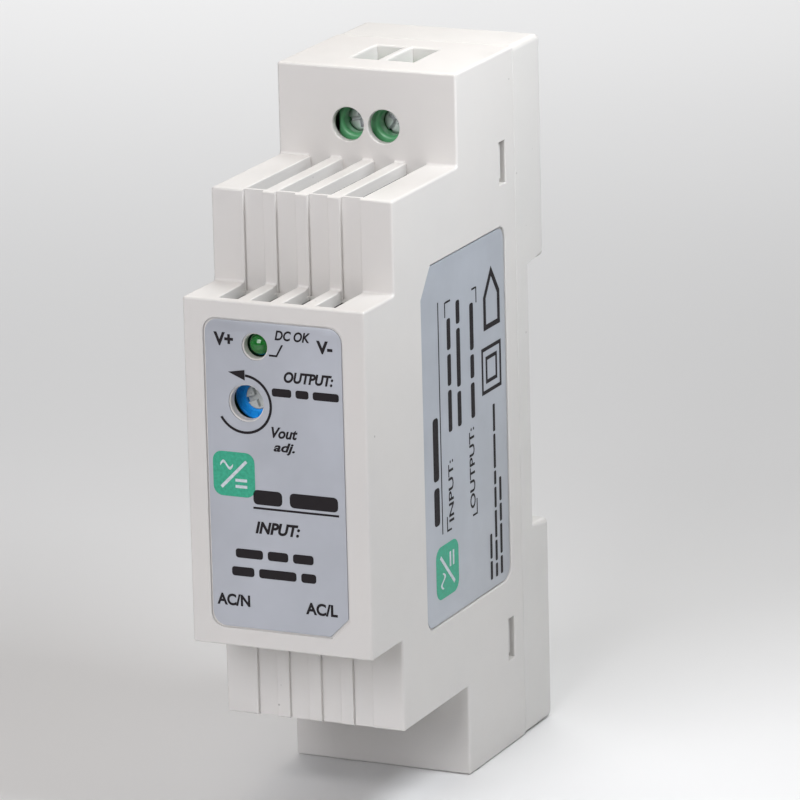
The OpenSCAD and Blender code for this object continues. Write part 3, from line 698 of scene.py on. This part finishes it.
def front_housing():
    shell = stepped_solid(0, SEAM_Y, 2 * HALF_W, HOLLOW_R)

    def ahead_of_seam(edge):
        return corner_edge(edge) and any(v.co.y < SEAM_Y - NEAR for v in edge.verts)

    def on_seam(edge):
        return corner_edge(edge) and all(v.co.y > SEAM_Y - NEAR for v in edge.verts)
    soften(shell, EDGE_R, 5, ahead_of_seam)
    soften(shell, SEAM_R, 1, on_seam)
    cavity = stepped_solid(WALL, SEAM_Y + 1, 2 * (HALF_W - WALL), 0)
    rounds = [[cavity], thinning_cutters(), groove_cutters(1) + groove_cutters(-1)]
    for surface in (ON_TOP, ON_BASE):
        rounds.append(vent_cutters(surface, SHOULDER_HALF) + vent_cutters(surface, NOSE_HALF))
    rounds.append(pole_cutters())
    rounds.append([
        moved(mouth(front_film_outline(FILM_GAP), RECESS, FINE_LIP_R), ON_FRONT, at(0, 0, -FRONT_Y)),
        moved(mouth(side_film_outline(FILM_GAP), RECESS, FINE_LIP_R), ON_SIDE, at(0, 0, HALF_W)),
    ])
    face = at(0, 0, -FRONT_Y - RECESS)
    controls = [moved(mouth(hole, WALL + 2, FINE_LIP_R), ON_FRONT, face) for hole in control_holes()]
    rounds.append(controls + window_cutters())
    for tools in rounds:
        shell = combined(shell, [merged(*tools)])
    make("front_shell", shell, "housing_grey", replaces=("front_housing",))


def rear_outline():
    """Side view of the rear housing as (y, height) points: a slab with the rail's seat cut into its back."""
    return [(SEAM_Y, -HALF_H + MID_Z), (BACK_Y, -HALF_H + MID_Z), (BACK_Y, -SEAT_HALF), (0, -SEAT_HALF),
            (0, SEAT_HALF), (BACK_Y, SEAT_HALF), (BACK_Y, HALF_H + MID_Z), (SEAM_Y, HALF_H + MID_Z)]


def snap_tongues():
    """Four tongues with barbs that catch in the front housing's windows."""
    parts = []
    inner = HALF_W - WALL
    front, back = WINDOW_Y
    barb = [(inner - 0.2, front + 0.2), (inner + 0.7, front + 0.9),
            (inner + 1.3, back - 0.15), (inner - 0.2, back - 0.15)]
    for end in (-1, 1):
        tongue_low, tongue_high = sorted((end * (inner - 1.1), end * (inner - 0.1)))
        root_low, root_high = sorted((end * (inner - 1.0), end * (inner + 0.5)))
        for rise in (-WINDOW_RISE, WINDOW_RISE):
            low, high = rise - TONGUE_HALF + MID_Z, rise + TONGUE_HALF + MID_Z
            parts.append(box((tongue_low, SEAM_Y - 6, low), (tongue_high, SEAM_Y + WALL, high)))
            parts.append(box((root_low, SEAM_Y + 0.02, low + 0.01),
                             (root_high, SEAM_Y + WALL - 0.02, high - 0.01)))
            parts.append(slab([(end * x, y) for x, y in barb], low + 0.02, high - 0.02))
    return parts


def rear_housing():
    shell = side_prism(rear_outline(), 2 * HALF_W)

    def outer(edge):
        on_seat = all(abs(v.co.z) < SEAT_HALF + NEAR and v.co.y < BACK_Y - NEAR for v in edge.verts)
        on_seam = all(v.co.y < SEAM_Y + NEAR for v in edge.verts)
        return corner_edge(edge) and not on_seat and not on_seam
    soften(shell, EDGE_R * 0.8, 4, outer)
    soften(shell, SEAM_R, 1, lambda e: corner_edge(e) and all(v.co.y < SEAM_Y + NEAR for v in e.verts))
    inner = HALF_W - WALL
    bottom = MID_Z - HALF_H
    floor_low, floor_high = bottom + WALL, MID_Z + HALF_H - WALL
    latch_low, latch_high = box_mm("rail_latch")
    plate_half = latch_high.x + 0.2
    rib_half = plate_half - 1.5
    # the cutters end slightly apart, so that no two of their faces share a plane
    cuts = [
        box((-inner, SEAM_Y - 1, floor_low), (inner, -WALL, floor_high)),
        box((-inner, SEAM_Y - 0.9, SEAT_HALF + WALL), (inner, BACK_Y - WALL, floor_high - 0.01)),
        box((-plate_half, latch_low.y - 0.2, bottom - 1), (plate_half, BACK_Y - 1.7, -SEAT_HALF + 1)),
        box((-rib_half, latch_low.y - 0.19, bottom - 1.1), (rib_half, BACK_Y + 1, -SEAT_HALF + 1.1)),
    ]
    hook = [(1.2, SEAT_HALF + 0.5), (1.2, SEAT_HALF - 2.5), (2.8, SEAT_HALF - 2.5),
            (3.6, SEAT_HALF - 1), (3.6, SEAT_HALF + 0.5)]
    hook_solid = side_prism(hook, 18)
    soften(hook_solid, 0.25, 2, lambda e: corner_edge(e) and any(v.co.z < SEAT_HALF - 0.2 for v in e.verts))
    spring_foot = SPRING[0].z - 0.05
    stop = box((-1.8, 0.1, spring_foot - 2), (1.8, latch_high.y - 1.7, spring_foot))
    shell = combined(shell, cuts)
    shell = combined(shell, [hook_solid, stop] + snap_tongues(), "UNION")
    make("rear_shell", shell, "rear_grey", replaces=("rear_housing",))


# ---------------------------------------------------------------- labels

def film_piece(name, outline, holes, surface, height, thickness, slot, node):
    """A printed film with a thin rounded edge, and openings where controls come through."""
    plate = slab(outline, 0, thickness)
    soften(plate, 0.07, 2, lambda e: corner_edge(e) and all(v.co.z > thickness - NEAR for v in e.verts))
    if holes:
        plate = combined(plate, [slab(h, -1, 1) for h in holes])
    make(name, moved(plate, surface, at(0, 0, height)), slot, replaces=(node,), weighted=False)


def sheet_of(*outlines):
    """Thin ink of one or more flat outlines, on the plane's surface."""
    return merged(*[slab(o, 0, INK_T) for o in outlines])


def ring_sector(cx, cy, r, width, start, end, count=40):
    """A curved band as an outline."""
    outer_side = arc(cx, cy, r + width / 2, start, end, count)
    inner_side = arc(cx, cy, r - width / 2, start, end, count)
    return outer_side + inner_side[::-1]


def frame_of(x0, y0, x1, y1, width):
    """A square ring, as four bars."""
    return [rectangle(x0, y0, x1, y0 + width),
            rectangle(x0, y1 - width, x1, y1),
            rectangle(x0, y0 + width, x0 + width, y1 - width),
            rectangle(x1 - width, y0 + width, x1, y1 - width)]


def word_bars(spot, words):
    """A line of text as plain rounded bars, one for each word, with widths in the given shares."""
    x, y0, x1, y1 = spot
    gap = (y1 - y0) * 0.55
    room = x1 - x - gap * (len(words) - 1)
    bars = []
    for share in words:
        width = room * share / sum(words)
        bars.append(rounded(x, y0, x + width, y1, (y1 - y0) * 0.3, 3))
        x += width + gap
    return bars


def lettering(text, spot, slant, weight):
    """Letters as thin ink that fills a rectangle of the label's plane."""
    x0, y0, x1, y1 = spot
    curve = bpy.data.curves.new("letters", "FONT")
    curve.body = text
    curve.shear = slant
    curve.offset = weight
    curve.resolution_u = 5
    scratch = new_object("letters", curve)
    graph = bpy.context.evaluated_depsgraph_get()
    mesh = bpy.data.meshes.new_from_object(scratch.evaluated_get(graph))
    bm = bmesh.new()
    bm.from_mesh(mesh)
    bpy.data.objects.remove(scratch)
    bpy.data.curves.remove(curve)
    bpy.data.meshes.remove(mesh)
    xs, ys = [v.co.x for v in bm.verts], [v.co.y for v in bm.verts]
    sx, sy = (x1 - x0) / (max(xs) - min(xs)), (y1 - y0) / (max(ys) - min(ys))
    low_x, low_y = min(xs), min(ys)
    for v in bm.verts:
        v.co = Vector((x0 + (v.co.x - low_x) * sx, y0 + (v.co.y - low_y) * sy, 0))
    raised = bmesh.ops.extrude_face_region(bm, geom=list(bm.faces), use_keep_orig=True)
    for item in raised["geom"]:
        if isinstance(item, bmesh.types.BMVert):
            item.co.z += INK_T
    bmesh.ops.recalc_face_normals(bm, faces=bm.faces)
    return bm


def emblem(cx, cy, size):
    """A plain converter sign in a rounded square: a wave above a slash, two bars below it."""
    half = size / 2
    ground = rounded(cx - half, cy - half, cx + half, cy + half, size * 0.22, 6)

    def place(points):
        return [(cx + x * half, cy + y * half) for x, y in points]
    stroke = 0.13
    crest = [(-0.64 + 0.6 * t / 24, 0.4 + 0.15 * math.sin(TAU * t / 24)) for t in range(25)]
    wave = [(x, y - stroke / 2) for x, y in crest] + [(x, y + stroke / 2) for x, y in reversed(crest)]
    slash = [(-0.66, -0.56), (-0.56, -0.66), (0.66, 0.56), (0.56, 0.66)]
    low_bar = rectangle(0.06, -0.6, 0.62, -0.6 + stroke)
    high_bar = rectangle(0.06, -0.32, 0.62, -0.32 + stroke)
    return ground, [place(points) for points in (wave, slash, low_bar, high_bar)]


def print_on(face, dark, sign, surface, place):
    """The dark print and the emblem of one label. Dark holds letters, lines of bars and plain outlines."""
    letters, lines, outlines = dark
    parts = [lettering(*row) for row in letters]
    for spot, words in lines:
        parts.append(sheet_of(*word_bars(spot, words)))
    parts.append(sheet_of(*outlines))
    ground, signs = emblem(*sign)
    layers = (("print", merged(*parts), 0, INK_DARK),
              ("emblem", sheet_of(ground), 0, INK_GREEN),
              ("emblem_sign", sheet_of(*signs), INK_T, INK_PALE))
    for layer, ink_bm, lift, material in layers:
        moved(ink_bm, surface, place, at(0, 0, lift))
        make(face + "_" + layer, ink_bm, face + "_film", material=material, weighted=False)


def front_label():
    low, high = FRONT_FILM
    film_piece("front_film", front_film_outline(), control_holes(FILM_GAP), ON_FRONT, -high.y, high.y - low.y,
               "front_film", "front_label")
    # text, box in the film's plane, slant and weight
    letters = (
        ("V+", (-8.35, 16.2, -5.65, 17.95), 0, 0.04),
        ("V-", (5.8, 16.25, 8.0, 17.95), 0, 0.04),
        ("DC OK", (0.1, 17.5, 5.0, 18.8), 0.25, 0.03),
        ("OUTPUT:", (1.2, 12.15, 8.0, 13.6), 0.25, 0.04),
        ("Vout", (-0.7, 4.85, 2.9, 6.3), 0.3, 0.03),
        ("adj.", (-0.5, 2.75, 2.45, 4.35), 0.3, 0.03),
        ("INPUT:", (-3.35, -7.8, 2.85, -6.2), 0.25, 0.04),
        ("AC/N", (-9.0, -17.6, -4.4, -16.05), 0, 0.035),
        ("AC/L", (3.35, -17.7, 7.75, -16.1), 0, 0.035),
    )
    lines = (
        ((-0.5, 10.25, 8.7, 11.3), (3, 2, 4)),
        ((-6.2, -11.2, 4.6, -10.0), (4, 3, 3)),
        ((-6.8, -13.6, 4.9, -12.4), (3, 5, 2)),
        ((-3.5, -4.0, 8.2, -2.1), (3, 5)),
    )
    underline = rectangle(-3.55, -4.6, 8.3, -4.33)
    lamp_leader = [rectangle(-0.75, 15.35, 0.35, 15.6),
                   [(0.1, 15.35), (0.35, 15.35), (1.25, 16.95), (0.98, 16.95)]]
    turn_arrow = [ring_sector(TRIMMER_X - 0.3, TRIMMER_RISE - 0.5, 3.7, 0.34, -150, 86),
                  [(-4.2, 11.95), (-4.2, 13.3), (-6.5, 12.9)]]
    outlines = [underline] + lamp_leader + turn_arrow
    print_on("front", (letters, lines, outlines), (-6.1, -0.35, 5.8), ON_FRONT, at(0, PRINT_RISE, -low.y))


def side_label():
    low, high = SIDE_FILM
    film_piece("side_film", side_film_outline(), [], ON_SIDE, low.x, high.x - low.x,
               "side_film", "side_label")
    letters = (
        ("INPUT:", (-11.1, 24.6, -3.0, 26.1), 0, 0.015),
        ("OUTPUT:", (-11.2, 17.8, -0.5, 19.4), 0, 0.015),
    )
    lines = (
        ((-10.6, 28.95, 3.6, 30.6), (3, 5)),
        ((0.7, 24.55, 15.6, 25.65), (4, 3, 3)),
        ((0.7, 21.6, 17.3, 22.75), (3, 5, 2)),
        ((0.7, 17.35, 15.9, 18.5), (3, 2, 4)),
        ((-22.4, 12.75, -16.2, 13.4), (3, 4)),
        ((-22.4, 11.1, 0.9, 11.75), (2, 3, 4, 3, 2, 5, 4)),
        ((-22.4, 9.5, -9.3, 10.15), (3, 5, 3, 4)),
    )
    underline = rectangle(-12.1, 28.1, 18.4, 28.35)
    # corner marks around the ratings, each of two short strokes
    corners = [
        rectangle(15.9, 26.0, 17.9, 26.25), rectangle(17.7, 24.4, 17.95, 26.0),
        rectangle(-12.2, 26.6, -10.2, 26.85), rectangle(-12.2, 25.4, -11.95, 26.6),
        rectangle(15.6, 16.2, 17.7, 16.45), rectangle(17.5, 16.45, 17.75, 17.7),
        rectangle(-12.3, 17.2, -10.2, 17.45), rectangle(-12.3, 17.45, -12.05, 18.7),
    ]
    double_square = frame_of(2.8, 8.8, 9.0, 15.0, 0.5) + frame_of(4.1, 10.1, 7.7, 13.7, 0.5)
    house = [(11.2, 8.9), (11.2, 14.1), (15.6, 14.1), (19.3, 11.5), (15.6, 8.9)]
    inner_house = [(11.9, 9.7), (11.9, 13.3), (15.4, 13.3), (18.0, 11.5), (15.4, 9.7)]
    walls = [[house[i - 1], house[i], inner_house[i], inner_house[i - 1]] for i in range(len(house))]
    outlines = [underline] + corners + double_square + walls
    print_on("side", (letters, lines, outlines), (-17.1, 27.0, 7.0), ON_SIDE, at(0, 0, high.x))


# ---------------------------------------------------------------- lamp and trimmer

def status_lamp():
    """A 3 mm lamp: flange, straight barrel and round dome, on two square leads."""
    low, high = LAMP
    r, flange_r = 1.5, 1.8
    base, tip = -high.y, -low.y
    flange = base + 2.0
    dome = tip - r
    lead_half = 0.25
    profile = [(0, flange), (flange_r - 0.1, flange), (flange_r, flange + 0.1), (flange_r, flange + 0.7),
               (flange_r - 0.1, flange + 0.8), (r + 0.05, flange + 0.85)]
    profile += [(r * math.cos(a), dome + r * math.sin(a)) for a in (math.pi / 2 * i / 12 for i in range(12))]
    profile.append((0, tip))
    place = at(LAMP_X, LAMP_RISE, 0)
    lens = moved(lathe(profile, 40), ON_FRONT, place)
    make("lamp_lens", lens, "led_green", replaces=("status_led",), weighted=False)
    leads = [box((x - lead_half, -lead_half, base), (x + lead_half, lead_half, flange + 0.1))
             for x in (-0.635, 0.635)]
    make("lamp_leads", moved(merged(*leads), ON_FRONT, place), "tinned_brass")


def about_z(bm, degrees, *steps):
    """Turns a bmesh about local Z, after any earlier steps."""
    return moved(bm, Matrix.Rotation(math.radians(degrees), 4, "Z"), *steps)


def trimmer_case():
    """The trimmer's round blue body, with tick marks around a sunk ring and a bore for the rotor."""
    low, high = TRIMMER
    top, base = -low.y, -high.y
    r, bore, seat = (high.x - low.x) / 2, 1.65, -ROTOR[1].y - 0.04
    ring = [(2.75, top), (2.65, top - 0.18), (1.95, top - 0.18), (1.85, top - 0.3)]
    profile = [(0, base), (r - 0.15, base), (r, base + 0.15), (r, top - 0.25), (r - 0.25, top)]
    profile += ring + [(bore, top - 0.32), (bore, seat), (0, seat)]
    parts = [lathe(profile, 64)]
    for i in range(11):
        tick = soften(box((2.0, -0.055, top - 0.25), (2.55, 0.055, top - 0.08)), 0.03, 1, corner_edge)
        parts.append(about_z(tick, -225 + 27 * i))
    place = at(TRIMMER_X, TRIMMER_RISE, 0)
    make("trimmer_case", moved(merged(*parts), ON_FRONT, place), "trimmer_blue", replaces=("trimmer_body",))


def trimmer_rotor():
    """A flat disc with a cross slot and four small sunk dots."""
    low, high = ROTOR
    r, dot_r, dot_depth = (high.x - low.x) / 2, 0.07, 0.12
    face, foot = -low.y, -high.y
    disc = lathe([(0, foot), (r, foot), (r, face - 0.1), (r - 0.1, face), (0, face)], 48)
    slot_half, slot_depth = 0.34, 0.6
    cuts = []
    for angle, reach in ((20, r + 0.1), (110, 1.3)):
        bar = box((-reach, -slot_half, face - slot_depth), (reach, slot_half, face + 1))
        cuts.append(about_z(bar, angle))
    for i in range(4):
        bottom, above = face - dot_depth, face + 0.5
        dot = lathe([(0, bottom), (dot_r, bottom), (dot_r, above), (0, above)], 12)
        cuts.append(about_z(dot, 65 + 90 * i, at(0.95, 0, 0)))
    disc = combined(disc, cuts)
    soften(disc, 0.04, 1, lambda e: corner_edge(e, 60) and all(v.co.z > face - NEAR for v in e.verts))
    place = at(TRIMMER_X, TRIMMER_RISE, 0)
    make("rotor", moved(disc, ON_FRONT, place), "rotor_grey", "trimmer_knob", ("trimmer_rotor",))


# ---------------------------------------------------------------- terminals

def thread(r, depth, pitch, low, high, count=28):
    """A screw thread as a closed solid: its radius follows a helix."""
    rows = max(4, int((high - low) / pitch * 6))
    loops = []
    for i in range(rows + 1):
        h = low + (high - low) * i / rows
        ring = []
        for k in range(count):
            wave = abs(((h / pitch - k / count) % 1.0) * 2 - 1)
            radius = r - depth * wave
            ring.append((radius * math.cos(TAU * k / count), radius * math.sin(TAU * k / count), h))
        loops.append(ring)
    return stack(loops)


def clamp_screws():
    """Pan-head clamp screws with a combined slot and cross, one for each pole."""
    head_h, slot_depth, shank_r, thread_depth, lead = 1.8, 0.9, 1.25, 0.14, 0.45
    for name, x, rise in poles():
        low, high = box_mm(name + "_screw")
        head_r = (high.x - low.x) / 2
        top, foot = -low.y, -high.y
        seat = top - head_h
        profile = [(0, seat), (head_r - 0.08, seat), (head_r, seat + 0.08), (head_r, top - 0.35),
                   (head_r - 0.12, top - 0.12), (head_r - 0.4, top), (0, top)]
        head = lathe(profile, 48)
        cuts = []
        for angle, length, width in ((35, 5.0, 0.55), (125, 2.5, 0.5)):
            bar = box((-length / 2, -width / 2, top - slot_depth), (length / 2, width / 2, top + 1))
            cuts.append(about_z(bar, angle + x * 9))
        head = combined(head, cuts)
        soften(head, 0.05, 1, lambda e: corner_edge(e, 60) and all(v.co.z > top - 0.02 for v in e.verts))
        shank = thread(shank_r, thread_depth, lead, foot, seat + 0.05)
        screw = moved(merged(head, shank), ON_FRONT, at(x, rise, 0))
        make(name + "_head", screw, "zinc_screw", name + "_screw", (name + "_screw",))


def terminal_blocks():
    """Green blocks with a rounded funnel over each screw and a square entry for each wire."""
    funnel_r, head_room_r = 1.65, 2.0
    entry_half, entry_h = 1.75, 9.8
    for node, side in (("output_terminal_block", 1), ("input_terminal_block", -1)):
        low, high = box_mm(node)
        base, top = -high.y, -low.y
        block = slab(rectangle(low.x, low.z - MID_Z, high.x, high.z - MID_Z), base, top)
        soften(block, 0.35, 3, lambda e: corner_edge(e) and any(v.co.z > top - NEAR for v in e.verts))
        first, second = [], []
        for name, x, rise in (pole for pole in poles() if pole[2] * side > 0):
            head = -box_mm(name + "_screw")[0].y
            cage = -box_mm(name + "_clamp")[1].y
            first.append(moved(mouth(circle(funnel_r, 40, x, rise), 3.2, 0.5), at(0, 0, top)))
            first.append(box((x - 2.0, rise - 2.1, cage - 0.3), (x + 2.0, rise + 2.1, head - 1.7)))
            room = [(0, head - 2.9), (head_room_r, head - 2.9), (head_room_r, head + 0.2),
                    (funnel_r - 0.05, head + 0.3), (0, head + 0.3)]
            second.append(moved(lathe(room, 40), at(x, rise, 0)))
            inside, outside = sorted((rise, rise + side * 12))
            second.append(box((x - entry_half, inside, cage), (x + entry_half, outside, cage + entry_h)))
        block = combined(combined(block, first), second)
        make(node + "_body", moved(block, ON_FRONT), "terminal_green", replaces=(node,))


# ---------------------------------------------------------------- latch and spring

def coil_spring():
    """A round-wire coil whose end turns lie close together."""
    low, high = SPRING
    wire, ring_r = 0.2, (high.x - low.x) / 2 - 0.2
    length = high.z - low.z - 2 * wire
    turns, per_turn, sides = 9, 24, 8
    centre = Vector(((low.x + high.x) / 2, (low.y + high.y) / 2, low.z + wire))
    loops = []
    for i in range(turns * per_turn + 1):
        t = i / (turns * per_turn)
        a = TAU * turns * t
        ease = t - math.sin(TAU * t) / TAU * 0.55
        middle = centre + Vector((ring_r * math.cos(a), ring_r * math.sin(a), length * ease))
        out = Vector((math.cos(a), math.sin(a), 0))
        loops.append([middle + out * wire * math.cos(b) + Vector((0, 0, wire * math.sin(b)))
                      for b in (TAU * k / sides for k in range(sides))])
    made = make("spring_coil", stack(loops), "spring_steel", replaces=("latch_spring",), weighted=False)
    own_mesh(made)


front_housing()
rear_housing()
front_label()
side_label()
status_lamp()
trimmer_case()
trimmer_rotor()
terminal_blocks()
clamp_screws()
coil_spring()
softened_copy("rail_latch", 0.25, "latch_grey", "latch")
for pole_name in POLES:
    softened_copy(pole_name + "_clamp", 0.12, "clamp_steel", pole_name + "_clamp")

# ---------------------------------------------------------------- camera, light and floor

VIEW_TURN = 24.84
VIEW_RISE = 15.04
VIEW_ROLL = -1.411
VIEW_DISTANCE = 809.6
VIEW_LENS = 283.99
VIEW_TARGET = Vector((4.147, -22.5, 4.477))


def camera():
    turn, rise, roll = (math.radians(a) for a in (VIEW_TURN, VIEW_RISE, VIEW_ROLL))
    back = Vector((math.sin(turn) * math.cos(rise), -math.cos(turn) * math.cos(rise), math.sin(rise)))
    right = Vector((math.cos(turn), math.sin(turn), 0))
    up = back.cross(right)
    rolled_right = right * math.cos(roll) + up * math.sin(roll)
    rolled_up = up * math.cos(roll) - right * math.sin(roll)
    lens = bpy.data.cameras.new("view")
    lens.lens = VIEW_LENS
    lens.sensor_width = 36.0
    lens.clip_start = 0.01
    lens.clip_end = 20.0
    made = new_object("view", lens)
    basis = Matrix((rolled_right, rolled_up, back)).transposed().to_4x4()
    made.matrix_world = Matrix.Translation((VIEW_TARGET + back * VIEW_DISTANCE) * MM) @ basis
    bpy.context.scene.camera = made


def softbox(name, place, aim, size, power, colour):
    """An area light at a place in millimetres, turned towards aim."""
    data = bpy.data.lights.new(name, "AREA")
    data.shape = "RECTANGLE"
    data.size, data.size_y = (s * MM for s in size)
    data.energy = power
    data.color = colour
    turn = (Vector(aim) - Vector(place)).to_track_quat("-Z", "Y").to_matrix().to_4x4()
    new_object(name, data).matrix_world = Matrix.Translation(Vector(place) * MM) @ turn


def studio():
    """Close light on the right side, broad and near light in front, light above and on the backdrop."""
    softbox("right", (100, -25, 130), (12, -25, 30), (70, 70), 0.225, (0.94, 0.97, 1.0))
    softbox("front", (-60, -620, 330), (0, -20, 10), (420, 420), 2.7, (0.96, 0.96, 1.0))
    softbox("near_front", (20, -190, 150), (0, -50, 20), (90, 90), 0.04, (1.0, 0.90, 0.80))
    softbox("top", (0, -10, 180), (0, -20, 40), (120, 120), 0.04, (1.0, 0.80, 0.55))
    softbox("backdrop", (-320, 560, 420), (-320, 560, 0), (700, 500), 3.6, (1.0, 1.0, 1.0))
    world = bpy.data.worlds.new("studio")
    world.use_nodes = True
    background = world.node_tree.nodes["Background"]
    background.inputs["Color"].default_value = (0.96, 0.97, 1.0, 1)
    background.inputs["Strength"].default_value = 0.05
    bpy.context.scene.world = world
    bpy.context.scene.view_settings.view_transform = "Standard"


def floor():
    """A pale floor under the lowest point, with a broad curve up to a far wall."""
    ground = min(SHELL_LOW.z, REAR_LOW.z) - 0.05
    reach, bend = 3000.0, 800.0
    angles = [math.pi / 2 * i / 12 for i in range(13)]
    curve = [(reach - bend + bend * math.sin(a), bend * (1 - math.cos(a))) for a in angles]
    profile = [(-reach, 0.0)] + curve + [(reach, reach)]
    bm = bmesh.new()
    rows = [[bm.verts.new((x * MM, y * MM, (ground + z) * MM)) for x in (-reach, reach)] for y, z in profile]
    for low, high in zip(rows, rows[1:]):
        bm.faces.new((low[0], low[1], high[1], high[0])).smooth = True
    made = new_object("floor", new_mesh("floor", bm))
    material, tree, shader, place = new_material("floor_white")
    cloud = noise(tree, place, 3, 2)
    link(tree, tint(tree, cloud, (0.78, 0.78, 0.78), (0.81, 0.81, 0.81)), shader, "Base Color")
    shader.inputs["Roughness"].default_value = 0.7
    made.data.materials.append(material)


camera()
studio()
floor()

for node, thing in frame["nodes"].items():
    slot_name = next(s["material_slot"] for s in frame["record"]["subparts"] if s["node"] == node)
    thing.data.materials.clear()
    thing.data.materials.append(MATERIALS[slot_name])
